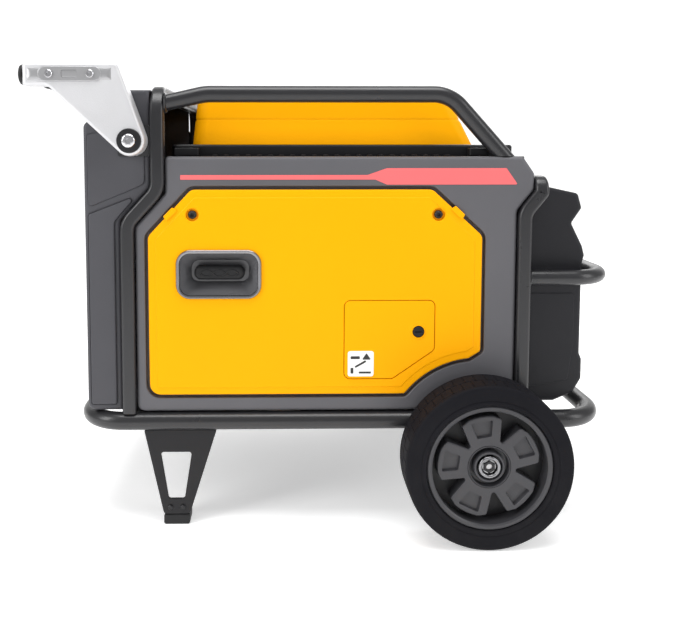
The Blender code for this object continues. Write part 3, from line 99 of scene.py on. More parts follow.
def noise(nodes, links, where, scale, detail=3.0, stretch=(1.0, 1.0, 1.0)):
    """Noise on Object coordinates, stretched along the axes."""
    mapping = nodes.new("ShaderNodeMapping")
    mapping.inputs["Scale"].default_value = stretch
    links.new(where, mapping.inputs["Vector"])
    texture = nodes.new("ShaderNodeTexNoise")
    texture.inputs["Scale"].default_value = scale
    texture.inputs["Detail"].default_value = detail
    links.new(mapping.outputs["Vector"], texture.inputs["Vector"])
    return texture.outputs["Fac"]


def shifted(colour, amount):
    """A colour made lighter or darker."""
    return tuple(min(1.0, max(0.0, part * amount)) for part in colour)


def surface(name, colour, rough, metal=0.0, grain=900.0, grain_depth=0.15, mottle=0.06, rough_spread=0.08,
            stretch=(1.0, 1.0, 1.0), coat=0.0, grime=0.0, specular=0.5):
    """A moulded, painted or metal finish: fine grain, slight colour change, uneven gloss and dust."""
    made = bpy.data.materials.new(name)
    made.use_nodes = True
    nodes, links = made.node_tree.nodes, made.node_tree.links
    shader = nodes["Principled BSDF"]
    shader.inputs["Metallic"].default_value = metal
    shader.inputs["Specular IOR Level"].default_value = specular
    shader.inputs["Coat Weight"].default_value = coat
    shader.inputs["Coat Roughness"].default_value = 0.12
    where = nodes.new("ShaderNodeTexCoord").outputs["Object"]
    cloud = noise(nodes, links, where, 5.0, 4.0)
    base = mix_ramp(nodes, links, cloud, shifted(colour, 1.0 - mottle), shifted(colour, 1.0 + mottle))
    if grime:
        height = nodes.new("ShaderNodeSeparateXYZ")
        links.new(where, height.inputs["Vector"])
        spread = nodes.new("ShaderNodeMapRange")
        spread.inputs["From Min"].default_value = 0.30
        spread.inputs["From Max"].default_value = 0.0
        links.new(height.outputs["Z"], spread.inputs["Value"])
        dust = nodes.new("ShaderNodeMath")
        dust.operation = "MULTIPLY"
        links.new(noise(nodes, links, where, 40.0, 6.0), dust.inputs[0])
        links.new(spread.outputs["Result"], dust.inputs[1])
        amount = nodes.new("ShaderNodeMath")
        amount.operation = "MULTIPLY"
        amount.inputs[1].default_value = grime
        links.new(dust.outputs["Value"], amount.inputs[0])
        blend = nodes.new("ShaderNodeMix")
        blend.data_type = "RGBA"
        links.new(amount.outputs["Value"], blend.inputs["Factor"])
        links.new(base, blend.inputs["A"])
        blend.inputs["B"].default_value = (0.30, 0.28, 0.25, 1.0)
        base = blend.outputs["Result"]
    links.new(base, shader.inputs["Base Color"])
    gloss = nodes.new("ShaderNodeMapRange")
    gloss.inputs["To Min"].default_value = max(0.03, rough - rough_spread)
    gloss.inputs["To Max"].default_value = min(1.0, rough + rough_spread)
    links.new(noise(nodes, links, where, 22.0, 5.0, stretch), gloss.inputs["Value"])
    links.new(gloss.outputs["Result"], shader.inputs["Roughness"])
    bump = nodes.new("ShaderNodeBump")
    bump.inputs["Strength"].default_value = grain_depth
    bump.inputs["Distance"].default_value = 0.0004
    links.new(noise(nodes, links, where, grain, 2.0, stretch), bump.inputs["Height"])
    links.new(bump.outputs["Normal"], shader.inputs["Normal"])
    return made


YELLOW = surface("yellow_satin_moulding", (0.93, 0.395, 0.0), 0.48, grain=1100.0, grain_depth=0.10, mottle=0.012,
                 specular=0.08)
GREY = surface("grey_grained_moulding", (0.098, 0.097, 0.106), 0.50, grain=1500.0, grain_depth=0.35, mottle=0.06,
               specular=0.35)
COVER = surface("charcoal_grained_moulding", (0.062, 0.062, 0.070), 0.52, grain=1300.0, grain_depth=0.4,
                mottle=0.08, specular=0.3)
# Darker copy of the charcoal cover moulding for the wheel-end cover: painted shade, as that end gets less light than
# the handle end
SHADED_COVER = surface("shaded_grained_moulding", (0.013, 0.013, 0.016), 0.48, grain=1300.0, grain_depth=0.4,
                     mottle=0.10, specular=0.25)
BLACK = surface("black_moulding", (0.010, 0.010, 0.012), 0.42, grain=900.0, grain_depth=0.2, specular=0.25,
                grime=0.03)
COAT = surface("black_powder_coat", (0.016, 0.016, 0.018), 0.30, grain=520.0, grain_depth=0.35, mottle=0.10,
               coat=0.10, grime=0.03, specular=0.45)
TYRE = surface("tyre_rubber", (0.0090, 0.0090, 0.0115), 0.62, grain=420.0, grain_depth=0.45, mottle=0.18, grime=0.03,
               specular=0.05)
RUBBER = surface("soft_grip_rubber", (0.010, 0.010, 0.011), 0.55, grain=700.0, grain_depth=0.4, mottle=0.15,
                 specular=0.35)
CHROME = surface("satin_chrome", (0.62, 0.62, 0.64), 0.18, metal=1.0, grain=300.0, grain_depth=0.03, mottle=0.03)
CAST = surface("blasted_aluminium", (0.62, 0.62, 0.635), 0.48, metal=0.6, grain=700.0, grain_depth=0.6, mottle=0.07)
# Darker copy of the cast aluminium for the arm's tube band and boss: painted shade on the round top of the casting
SHADED_CAST = surface("cast_aluminium_painted_shade", (0.39, 0.39, 0.40), 0.40, metal=0.8, grain=260.0, grain_depth=0.2, mottle=0.08,
                    stretch=(0.08, 1.0, 1.0))
TRIM = surface("satin_trim", (0.25, 0.25, 0.26), 0.26, metal=1.0, grain=300.0, grain_depth=0.05, mottle=0.05)
STEEL = surface("zinc_plated_steel", (0.40, 0.40, 0.41), 0.32, metal=1.0, grain=260.0, grain_depth=0.1,
                stretch=(1.0, 0.1, 1.0))
COPPER = surface("enamelled_copper", (0.45, 0.18, 0.07), 0.38, metal=0.9, grain=400.0, grain_depth=0.3)
DARK_STEEL = surface("black_oxide_steel", (0.03, 0.03, 0.032), 0.38, metal=0.7, grain=600.0, grain_depth=0.2)
RED = surface("red_stripe_paint", (0.82, 0.150, 0.155), 0.45, grain=900.0, grain_depth=0.05, mottle=0.02,
              specular=0.2)
WHITE = surface("white_label", (0.86, 0.86, 0.85), 0.5, grain=500.0, grain_depth=0.05, mottle=0.02)
INK = surface("label_ink", (0.02, 0.02, 0.02), 0.6, grain=500.0, grain_depth=0.02)
RIM_FACE = surface("rim_moulding", (0.038, 0.038, 0.043), 0.36, grain=800.0, grain_depth=0.25, mottle=0.12,
                   grime=0.03,
                   specular=0.4)
CUP = surface("glossy_cup_moulding", (0.130, 0.130, 0.138), 0.26, grain=900.0, grain_depth=0.08, mottle=0.06,
              coat=0.2)
SCREEN = surface("meter_glass", (0.01, 0.03, 0.02), 0.08, grain=200.0, grain_depth=0.0, mottle=0.2)
AMBER = surface("amber_indicator", (0.80, 0.30, 0.02), 0.2, grain=300.0, grain_depth=0.02)
LAMP = surface("green_indicator", (0.05, 0.55, 0.12), 0.2, grain=300.0, grain_depth=0.02)
PAPER = surface("studio_white", (0.93, 0.93, 0.93), 0.9, grain=60.0, grain_depth=0.0, mottle=0.002)
PAPER.node_tree.nodes["Principled BSDF"].inputs["Emission Color"].default_value = (1.0, 1.0, 1.0, 1.0)
PAPER.node_tree.nodes["Principled BSDF"].inputs["Emission Strength"].default_value = 0.42


# ---------------------------------------------------------------- outlines
def arc(centre, radius, start, stop, steps):
    """Points on an arc, angles in degrees."""
    angles = [math.radians(start + (stop - start) * step / steps) for step in range(steps + 1)]
    return [(centre[0] + radius * math.cos(angle), centre[1] + radius * math.sin(angle)) for angle in angles]


def circle(centre, radius, steps=48):
    """A closed round outline."""
    return arc(centre, radius, -90.0, 270.0, steps)[:-1]


def rounded(corners, steps=8):
    """Closed outline from (u, v, radius) corners, with an arc at every corner that has a radius."""
    points = []
    for index, (u, v, radius) in enumerate(corners):
        here = Vector((u, v))
        if radius <= 0.0:
            points.append((u, v))
            continue
        back = (Vector(corners[index - 1][:2]) - here).normalized()
        ahead = (Vector(corners[(index + 1) % len(corners)][:2]) - here).normalized()
        half = back.angle(ahead) / 2
        centre = here + (back + ahead).normalized() * (radius / math.sin(half))
        start = here + back * (radius / math.tan(half)) - centre
        stop = here + ahead * (radius / math.tan(half)) - centre
        first = math.degrees(math.atan2(start.y, start.x))
        sweep = math.degrees(math.atan2(start.cross(stop), start.dot(stop)))
        points.extend(arc(centre, radius, first, first + sweep, steps))
    return points


def grown(corners, distance):
    """The same corners moved outwards; a negative distance moves them in."""
    pairs = [(corners[index - 1], corners[index]) for index in range(len(corners))]
    turn = math.copysign(1.0, sum(a[0] * b[1] - b[0] * a[1] for a, b in pairs))
    moved = []
    for index, (u, v, radius) in enumerate(corners):
        here = Vector((u, v))
        along_in = (here - Vector(corners[index - 1][:2])).normalized()
        along_out = (Vector(corners[(index + 1) % len(corners)][:2]) - here).normalized()
        normal_in = Vector((along_in.y, -along_in.x))
        normal_out = Vector((along_out.y, -along_out.x))
        place = here + (normal_in + normal_out) * distance * turn / (1.0 + normal_in.dot(normal_out))
        convex = math.copysign(1.0, along_in.cross(along_out) * turn)
        size = max(radius + convex * distance, 0.0006) if radius > 0.0 else 0.0
        moved.append((place.x, place.y, size))
    return moved


def box_corners(u_low, u_high, v_low, v_high, radius=0.0):
    """The four corners of a rectangle."""
    return [(u_low, v_low, radius), (u_high, v_low, radius), (u_high, v_high, radius), (u_low, v_high, radius)]


def side_line(path, distance):
    """An open path in a plane, moved sideways; a positive distance is to its right."""
    moved = []
    for index, point in enumerate(path):
        here = Vector(point)
        along_in = here - Vector(path[max(index - 1, 0)])
        along_out = Vector(path[min(index + 1, len(path) - 1)]) - here
        along_in = (along_in if index else along_out).normalized()
        along_out = (along_out if index < len(path) - 1 else along_in).normalized()
        normal_in = Vector((along_in.y, -along_in.x))
        normal_out = Vector((along_out.y, -along_out.x))
        place = here + (normal_in + normal_out) * distance / (1.0 + normal_in.dot(normal_out))
        moved.append((place.x, place.y))
    return moved


# ---------------------------------------------------------------- solids
class Body:
    """A closed solid made of rings on parallel planes, walls between rings and flat ends."""

    def __init__(self, axis="Y"):
        self.bm = bmesh.new()
        self.axis = axis

    def ring(self, outline, depth):
        """Points of an outline on the plane at this depth along the body's axis."""
        order = {"X": (2, 0, 1), "Y": (0, 2, 1), "Z": (0, 1, 2)}[self.axis]
        return [self.bm.verts.new([(u, v, depth)[index] for index in order]) for u, v in outline]

    def wall(self, *rings):
        """Join each ring to the next one."""
        for first, second in zip(rings, rings[1:]):
            for index in range(len(first)):
                self.bm.faces.new((first[index - 1], first[index], second[index], second[index - 1]))

    def end(self, *rings):
        """Fill the flat area inside the first ring and outside the others."""
        edges = []
        for ring in rings:
            for index in range(len(ring)):
                pair = (ring[index - 1], ring[index])
                edges.append(self.bm.edges.get(pair) or self.bm.edges.new(pair))
        bmesh.ops.triangle_fill(self.bm, use_beauty=True, edges=edges)

    def eased(self, corners, face, inward, radius, curve=4, steps=8, flip=1.0):
        """Rings of a quarter-round edge, from the face back to the side wall."""
        rings = []
        for step in range(curve + 1):
            angle = math.pi / 2 * step / curve
            shrink = flip * radius * (math.sin(angle) - 1.0)
            depth = face + inward * radius * (1.0 - math.cos(angle))
            rings.append(self.ring(rounded(grown(corners, shrink), steps), depth))
        self.wall(*rings)
        return rings

    def dent(self, corners, face, inward, depth, ease=0.0006, steps=8):
        """A shallow sunk or raised area; returns its outer ring for the face around it."""
        rim = self.ring(rounded(corners, steps), face)
        floor = self.ring(rounded(grown(corners, -ease), steps), face + inward * depth)
        self.wall(rim, floor)
        self.end(floor)
        return rim

    def hole(self, outline, *depths):
        """A straight hole; returns its first and last ring."""
        rings = [self.ring(outline, depth) for depth in depths]
        self.wall(*rings)
        return rings[0], rings[-1]


def prism(corners, low_side, high_side, axis="Y", ease=0.0, holes=(), steps=8, curve=3):
    """A straight solid with quarter-round edges and round-cornered holes."""
    body = Body(axis)
    if ease:
        first = body.eased(corners, low_side, 1.0, ease, curve, steps)
        last = body.eased(corners, high_side, -1.0, ease, curve, steps)
        body.wall(first[-1], last[-1])
        front, back = first[0], last[0]
    else:
        front, back = body.ring(rounded(corners, steps), low_side), body.ring(rounded(corners, steps), high_side)
        body.wall(front, back)
    pairs = [body.hole(hole, low_side, high_side) for hole in holes]
    body.end(front, *[pair[0] for pair in pairs])
    body.end(back, *[pair[1] for pair in pairs])
    return body.bm


def turned(profile, axis, centre, steps=64, closed=False):
    """A solid of revolution from (radius, depth) points; a closed profile gives a ring."""
    body = Body(axis)
    rings = [body.ring(circle(centre, radius, steps), depth) for radius, depth in profile]
    body.wall(*rings)
    if closed:
        body.wall(rings[-1], rings[0])
    else:
        body.end(rings[0])
        body.end(rings[-1])
    return body.bm


def bent(corners, radii, steps=12):
    """A path in space with round bends at its inner corners, each with its own radius or all the same."""
    path = [Vector(corners[0])]
    if isinstance(radii, float):
        radii = [radii] * (len(corners) - 2)
    for index, radius in enumerate(radii, start=1):
        here = Vector(corners[index])
        back = (Vector(corners[index - 1]) - here).normalized()
        ahead = (Vector(corners[index + 1]) - here).normalized()
        half = back.angle(ahead) / 2
        centre = here + (back + ahead).normalized() * (radius / math.sin(half))
        start = (here + back * radius / math.tan(half) - centre).normalized()
        stop = (here + ahead * radius / math.tan(half) - centre).normalized()
        path += [centre + start.slerp(stop, step / steps) * radius for step in range(steps + 1)]
    path.append(Vector(corners[-1]))
    return path


def swept(path, section, reference, closed=False):
    """Sweep a section of (side, rise) points along a path; `side` lies nearest to `reference`."""
    bm = bmesh.new()
    rings = []
    count = len(path)
    for index, here in enumerate(path):
        last = path[index - 1] if index or closed else None
        following = path[(index + 1) % count] if index < count - 1 or closed else None
        ahead = (following - here).normalized() if following is not None else None
        along = (here - last).normalized() if last is not None else ahead
        ahead = along if ahead is None else ahead
        plane = (along + ahead).normalized()
        side = (reference - along * reference.dot(along)).normalized()
        rise = along.cross(side)
        ring = []
        for across, high_up in section:
            offset = side * across + rise * high_up
            ring.append(bm.verts.new(here + offset - along * (offset.dot(plane) / along.dot(plane))))
        rings.append(ring)
    pairs = list(zip(rings, rings[1:])) + ([(rings[-1], rings[0])] if closed else [])
    for first, second in pairs:
        for index in range(len(first)):
            bm.faces.new((first[index - 1], first[index], second[index], second[index - 1]))
    if not closed:
        bm.faces.new(rings[0])
        bm.faces.new(rings[-1])
    return bm


def piece(name, bm, look, body="frame", stands_for=(), slot=None, sharp=38.0):
    """Finish a mesh: clean it, shade it, and let it ride on its body in place of its nodes."""
    bmesh.ops.remove_doubles(bm, verts=bm.verts, dist=1e-6)
    bmesh.ops.recalc_face_normals(bm, faces=bm.faces)
    mesh = bpy.data.meshes.new(name)
    bm.to_mesh(mesh)
    bm.free()
    mesh.materials.append(look)
    mesh.shade_smooth()
    mesh.set_sharp_from_angle(angle=math.radians(sharp))
    made = bpy.data.objects.new(name, mesh)
    bpy.context.scene.collection.objects.link(made)
    even = made.modifiers.new("even_shading", "WEIGHTED_NORMAL")
    even.keep_sharp = True
    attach(made, body)
    if stands_for:
        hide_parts(*stands_for)
        nodes = {entry["node"]: entry["material_slot"] for entry in frame["record"]["subparts"]}
        slot = slot or nodes[stands_for[0]]
    return made


# ---------------------------------------------------------------- repeats, made by Geometry Nodes
def repeat_tree(kind):
    """A node tree that places copies of a stencil in a row, a ring about Y, or upright in a circle about Z."""
    tree = bpy.data.node_groups.new("repeat_in_" + kind, "GeometryNodeTree")
    face = tree.interface
    sockets = [("Stencil", "NodeSocketObject"), ("Count", "NodeSocketInt"), ("Radius", "NodeSocketFloat"),
               ("Start", "NodeSocketVector"), ("Step", "NodeSocketVector"), ("Turn", "NodeSocketFloat"),
               ("Finish", "NodeSocketMaterial")]
    for name, kind_of in sockets:
        face.new_socket(name, in_out="INPUT", socket_type=kind_of)
    face.new_socket("Geometry", in_out="OUTPUT", socket_type="NodeSocketGeometry")
    add, link = tree.nodes.new, tree.links.new
    given, result = add("NodeGroupInput").outputs, add("NodeGroupOutput")
    stencil = add("GeometryNodeObjectInfo")
    link(given["Stencil"], stencil.inputs["Object"])
    line = add("GeometryNodeMeshLine")
    link(given["Count"], line.inputs["Count"])
    link(given["Start"], line.inputs["Start Location"])
    placed = add("GeometryNodeInstanceOnPoints")
    link(line.outputs["Mesh"], placed.inputs["Points"])
    link(stencil.outputs["Geometry"], placed.inputs["Instance"])
    if kind == "row":
        link(given["Step"], line.inputs["Offset"])
    else:
        line.inputs["Offset"].default_value = (0.0, 0.0, 0.0)
        share = add("ShaderNodeMath")
        share.operation = "DIVIDE"
        share.inputs[0].default_value = 2.0 * math.pi
        link(given["Count"], share.inputs[1])
        angle = add("ShaderNodeMath")
        angle.operation = "MULTIPLY_ADD"
        link(add("GeometryNodeInputIndex").outputs["Index"], angle.inputs[0])
        link(share.outputs["Value"], angle.inputs[1])
        link(given["Turn"], angle.inputs[2])
        reach = add("ShaderNodeCombineXYZ")
        moved = add("GeometryNodeTranslateInstances")
        if kind == "ring":
            spin = add("ShaderNodeCombineXYZ")
            link(angle.outputs["Value"], spin.inputs["Y"])
            link(spin.outputs["Vector"], placed.inputs["Rotation"])
            link(given["Radius"], reach.inputs["Z"])
        else:
            moved.inputs["Local Space"].default_value = False
            for axis, wave in (("X", "COSINE"), ("Y", "SINE")):
                turned_to, scaled = add("ShaderNodeMath"), add("ShaderNodeMath")
                turned_to.operation, scaled.operation = wave, "MULTIPLY"
                link(angle.outputs["Value"], turned_to.inputs[0])
                link(turned_to.outputs["Value"], scaled.inputs[0])
                link(given["Radius"], scaled.inputs[1])
                link(scaled.outputs["Value"], reach.inputs[axis])
        link(placed.outputs["Instances"], moved.inputs["Instances"])
        link(reach.outputs["Vector"], moved.inputs["Translation"])
        placed = moved
    real = add("GeometryNodeRealizeInstances")
    link(placed.outputs["Instances"], real.inputs["Geometry"])
    painted = add("GeometryNodeSetMaterial")
    link(real.outputs["Geometry"], painted.inputs["Geometry"])
    link(given["Finish"], painted.inputs["Material"])
    link(painted.outputs["Geometry"], result.inputs["Geometry"])
    return tree


TREES = {kind: repeat_tree(kind) for kind in ("ring", "row", "circle")}


def repeated(name, kind, stencil_bm, look, body="frame", slot=None, sharp=38.0, **inputs):
    """Run a repeat tree once and keep its result as one plain mesh that rides on a body."""
    bmesh.ops.recalc_face_normals(stencil_bm, faces=stencil_bm.faces)
    mesh = bpy.data.meshes.new(name + "_stencil")
    stencil_bm.to_mesh(mesh)
    stencil_bm.free()
    stencil = bpy.data.objects.new(name + "_stencil", mesh)
    holder = bpy.data.objects.new(name + "_holder", bpy.data.meshes.new(name + "_holder"))
    for made in (stencil, holder):
        bpy.context.scene.collection.objects.link(made)
    maker = holder.modifiers.new("repeat", "NODES")
    maker.node_group = TREES[kind]
    keys = {item.name: item.identifier for item in TREES[kind].interface.items_tree if item.in_out == "INPUT"}
    for label, value in {"Stencil": stencil, "Finish": look, **inputs}.items():
        maker[keys[label]] = value
    view_graph = bpy.context.evaluated_depsgraph_get()
    bm = bmesh.new()
    done = bpy.data.meshes.new_from_object(holder.evaluated_get(view_graph))
    bm.from_mesh(done)
    for used in (stencil, holder):
        bpy.data.objects.remove(used, do_unlink=True)
    return piece(name, bm, look, body, slot=slot, sharp=sharp)


# ---------------------------------------------------------------- tube frame
HOOP_FEET = LOOP_Z + 0.0144
LEFT_LEG = [(LEFT_X, HOOP_FEET), (LEFT_X, LOOP_Z + 0.3126), (LEFT_X + 0.0474, LOOP_Z + 0.364),
            (LEFT_X + 0.0474, LOOP_Z + 0.514)]
RIGHT_LEG = [(RIGHT_X, HOOP_FEET), (RIGHT_X, LOOP_Z + 0.328), (RIGHT_X + 0.0256, LOOP_Z + 0.360),
             (RIGHT_X + 0.0256, LOOP_Z + 0.375)]


def tube_section(radius, steps=32):
    """Section of a round tube."""
    return circle((0.0, 0.0), radius, steps)


def hoop_path(leg, jog_bends, top_bend):
    """Up the near leg, across, and down the far leg."""
    near = [(x, -SIDE_Y, z) for x, z in leg]
    far = [(x, SIDE_Y, z) for x, z in reversed(leg)]
    return bent(near + far, [*jog_bends, top_bend, top_bend, *reversed(jog_bends)], steps=10)


def weld(name, centre, axis, tube_radius, depth, side=1.0, look=COAT):
    """Fillet of weld metal round a tube end."""
    shape = [(tube_radius - 0.001, depth), (tube_radius + 0.0032, depth),
             (tube_radius + 0.0026, depth + side * 0.0012),
             (tube_radius + 0.0012, depth + side * 0.0026), (tube_radius - 0.001, depth + side * 0.0034)]
    return piece(name, turned(shape, axis, centre, 40, closed=True), look, slot="powder_coat")


def make_frame():
    """Base loop, both hoops, roll bars and end bumper, as smooth tube."""
    left, right = low("base_loop", "X") + 0.014, high("base_loop", "X") - 0.014
    corners = [(0.0, -SIDE_Y, LOOP_Z), (right, -SIDE_Y, LOOP_Z), (right, SIDE_Y, LOOP_Z),
               (left, SIDE_Y, LOOP_Z), (left, -SIDE_Y, LOOP_Z), (0.0, -SIDE_Y, LOOP_Z)]
    path = bent(corners, 0.063, steps=16)[:-1]
    piece("base_tube", swept(path, tube_section(0.014, 40), Vector((0, 0, 1)), closed=True), COAT,
          stands_for=["base_loop"])
    flat = rounded(box_corners(-BAND_HALF, BAND_HALF, -0.011, 0.011, 0.0055), 6)
    for name, leg, jogs, top in (("left_hoop", LEFT_LEG, (0.034, 0.034), 0.036),
                                 ("right_hoop", RIGHT_LEG, (0.030, 0.001), 0.0145)):
        path = hoop_path(leg, jogs, top)
        piece(name + "_tube", swept(path, flat, Vector((1, 0, 0))), COAT, stands_for=[name], sharp=50.0)
    for side_name, side in SIDES.items():
        make_roll_bar(side_name, side)
    y, z = SIDE_Y - 0.007, LOOP_Z + 0.225
    start, reach = RIGHT_X + BAND_HALF + GAP, RIGHT_X + 0.1406
    path = bent([(start, -y, z), (reach, -y, z), (reach, y, z), (start, y, z)], 0.058, steps=16)
    piece("end_bumper_tube", swept(path, tube_section(0.012), Vector((0, 0, 1))), COAT, stands_for=["end_bumper"])
    for side_name, side in SIDES.items():
        weld("bumper_weld_" + side_name, (side * y, z), "X", 0.012, start)


def make_roll_bar(side_name, side):
    """Bar along the top, from the left hoop down to the top of the fascia."""
    radius, y, top = 0.013, side * (SIDE_Y - 0.009), LOOP_Z + 0.512
    start, foot_z = LEFT_X + 0.0474 + BAND_HALF + GAP, CASE_TOP + GAP
    corners = [(start, y, top - 0.0135), (LEFT_X + 0.121, y, top), (RIGHT_X - 0.1174, y, top),
               (RIGHT_X - 0.0317, y, foot_z)]
    path = bent(corners, [0.0825, 0.055], steps=14)
    bm = swept(path, tube_section(radius), Vector((0, 1, 0)))
    slope = (path[-2] - path[-1]).normalized()
    for vert in bm.verts:
        if (vert.co - path[0]).length < radius * 1.01:
            vert.co.x = start
        if (vert.co - path[-1]).length < radius * 1.01:
            vert.co += slope * ((foot_z - vert.co.z) / slope.z)
    piece("roll_tube_" + side_name, bm, COAT, stands_for=["roll_bar_" + side_name])
    weld("roll_weld_" + side_name, (y, top - 0.0135), "X", radius, start)


def make_foot(side_name, side):
    """Pressed foot bracket with folded flanges and a window, on a ribbed rubber pad."""
    top, base = LOOP_Z - 0.0144, 0.0164
    left, right = LEFT_X + 0.0504, LEFT_X + 0.092
    corners = [(left, base, 0.006), (right, base, 0.006), (LEFT_X + 0.136, top, 0.004), (LEFT_X + 0.020, top, 0.004)]
    centre = (left + right) / 2
    window = [(centre - 0.0126, base + 0.026, 0.004), (centre + 0.0126, base + 0.026, 0.004),
              (centre + 0.0245, top - 0.0375, 0.004), (centre - 0.0245, top - 0.0375, 0.004)]
    front, sheet = side * (SIDE_Y - 0.001), 0.004
    back, inner_face = front - side * 0.034, front - side * sheet
    body = Body("Y")
    outer = body.eased(corners, front, -side, 0.0025)
    inner = rounded(grown(corners, -sheet))
    edge = [body.ring(rounded(corners), back), body.ring(inner, back), body.ring(inner, inner_face)]
    body.wall(outer[-1], *edge)
    opening = body.eased(window, front, -side, 0.0012, curve=3, flip=-1.0)
    through = body.ring(rounded(window), inner_face)
    body.wall(opening[-1], through)
    body.end(outer[0], opening[0])
    body.end(edge[-1], through)
    piece("foot_pressing_" + side_name, body.bm, BLACK, stands_for=["foot_bracket_" + side_name])
    pad = prism(box_corners(left, right, 0.0, 0.016, 0.0035), *sorted((front, back)), ease=0.002)
    piece("foot_rubber_" + side_name, pad, RUBBER, stands_for=["foot_pad_" + side_name])
    for label, x in (("left", centre - 0.010), ("right", centre + 0.010)):
        head = turned([(0.0042, front + side * 0.0003), (0.0042, front + side * 0.0022),
                       (0.0032, front + side * 0.0030)], "Y", (x, base + 0.012), 6)
        piece("foot_bolt_%s_%s" % (label, side_name), head, DARK_STEEL, slot="dark_screw")


# ---------------------------------------------------------------- wheels
PADDLE_ANGLES = (100.0, 172.0, 244.0, 316.0, 28.0)


def on_wheel(radius, angle):
    """A place on the wheel's face."""
    return (AXLE_X + radius * math.cos(math.radians(angle)), AXLE_Z + radius * math.sin(math.radians(angle)))


def make_tyre(side_name, side, body_name):
    """Solid tyre: flat sidewall with a bead line, square shoulder and two rows of shallow tread blocks."""
    mid, tread = middle("tyre_" + side_name, "Y"), 0.1240
    half = [(0.0949, 0.024), (0.0949, 0.0286), (0.0960, 0.0306), (0.0985, 0.0315), (0.1010, 0.0311),
            (0.1022, 0.0302), (0.1034, 0.0302), (0.1046, 0.0312), (0.1196, 0.0318), (0.1214, 0.0316),
            (0.1232, 0.0308), (0.1246, 0.0294), (0.1254, 0.0276), (0.1254, 0.0252),
            (tread, 0.0250)]
    shape = [(radius, mid + side * depth) for radius, depth in half]
    shape += [(radius, mid - side * depth) for radius, depth in reversed(half)]
    piece("tyre_body_" + side_name, turned(shape, "Y", (AXLE_X, AXLE_Z), 128, closed=True), TYRE, body_name,
          stands_for=["tyre_" + side_name])
    for row, (place, turn) in enumerate(((-0.0125, 0.0), (0.0125, 0.5))):
        corners = box_corners(-0.0079, 0.0079, -0.0118, 0.0118, 0.0012)
        block = Body("Z")
        rings = [block.ring(rounded(corners, 2), -0.0024), block.ring(rounded(corners, 2), -0.0004),
                 block.ring(rounded(grown(corners, -0.0005), 2), 0.0)]
        block.wall(*rings)
        block.end(rings[0])
        block.end(rings[-1])
        repeated("tread_row_%d_%s" % (row, side_name), "ring", block.bm, TYRE, body_name, slot="tyre_rubber",
                 Count=48, Radius=0.1255, Start=(AXLE_X, mid + place, AXLE_Z), Turn=turn * 2.0 * math.pi / 48)


def make_rim(side_name, side, body_name):
    """Moulded rim: deep barrel, a closed rear disc in black that is partly the real disc and partly painted shade for
    the windows between the paddles, and five wide paddles with sunk pockets round the hub.
    """
    ends = (low("rim_" + side_name, "Y"), high("rim_" + side_name, "Y"))
    front, back = max(ends, key=abs), min(ends, key=abs)
    centre = (AXLE_X, AXLE_Z)

    def at(depth):
        return front - side * depth

    barrel = [(0.0875, at(0.0)), (0.0885, at(-0.0008)), (0.0925, at(-0.0008)), (0.0944, at(0.0012)), (0.0944, back),
              (0.0870, back), (0.0862, at(0.034)), (0.0862, at(0.0010))]
    piece("rim_barrel_" + side_name, turned(barrel, "Y", centre, 96, closed=True), RIM_FACE, body_name,
          stands_for=["rim_" + side_name])
    # Real rear disc, left closed and coloured darker than the rim moulding: painted shade in the windows between the
    # paddles
    disc = [(0.0108, at(0.026)), (0.0864, at(0.026)), (0.0864, at(0.031)), (0.0108, at(0.031))]
    piece("rim_disc_" + side_name, turned(disc, "Y", centre, 96, closed=True), BLACK, body_name,
          slot="black_moulding")
    star = []
    for angle in sorted(PADDLE_ANGLES):
        star += [(*on_wheel(0.036, angle - 36.0), 0.003), (*on_wheel(0.0745, angle - 24.0), 0.004)]
        star += [(*on_wheel(0.0775, angle + turn), 0.0) for turn in (-14.0, -7.0, 0.0, 7.0, 14.0)]
        star += [(*on_wheel(0.0745, angle + 24.0), 0.004)]
    body = Body("Y")
    outer = body.eased(star, at(0.0055), -side, 0.0022, curve=4, steps=5)
    foot = body.ring(rounded(star, 5), at(0.026))
    body.wall(outer[-1], foot)
    pockets = []
    for angle in PADDLE_ANGLES:
        spread = [(0.0465, -13.5), (0.0465, 13.5), (0.0715, 13.5), (0.0715, -13.5)]
        pocket = [(*on_wheel(radius, angle + turn), 0.0022) for radius, turn in spread]
        pockets.append(body.dent(pocket, at(0.0055), -side, 0.0055, ease=0.0010, steps=4))
    seat = circle(centre, 0.0325, 64)
    seat_ring = body.ring(seat, at(0.0055))
    body.end(outer[0], seat_ring, *pockets)
    hub_base = body.ring(seat, at(0.024))
    body.wall(seat_ring, hub_base)
    body.end(foot, hub_base)
    piece("rim_paddles_" + side_name, body.bm, RIM_FACE, body_name, slot="black_moulding")
    hub = [(radius, at(depth)) for radius, depth in
           ((0.0322, 0.0240), (0.0322, 0.0062), (0.0314, 0.0050), (0.0304, 0.0050), (0.0298, 0.0062),
            (0.0286, 0.0150), (0.0240, 0.0156), (0.0234, 0.0056), (0.0224, 0.0042), (0.0200, 0.0042),
            (0.0190, 0.0056), (0.0186, 0.0125), (0.0108, 0.0125), (0.0108, 0.0240))]
    piece("rim_hub_" + side_name, turned(hub, "Y", centre, 72, closed=True), RIM_FACE, body_name,
          slot="black_moulding")


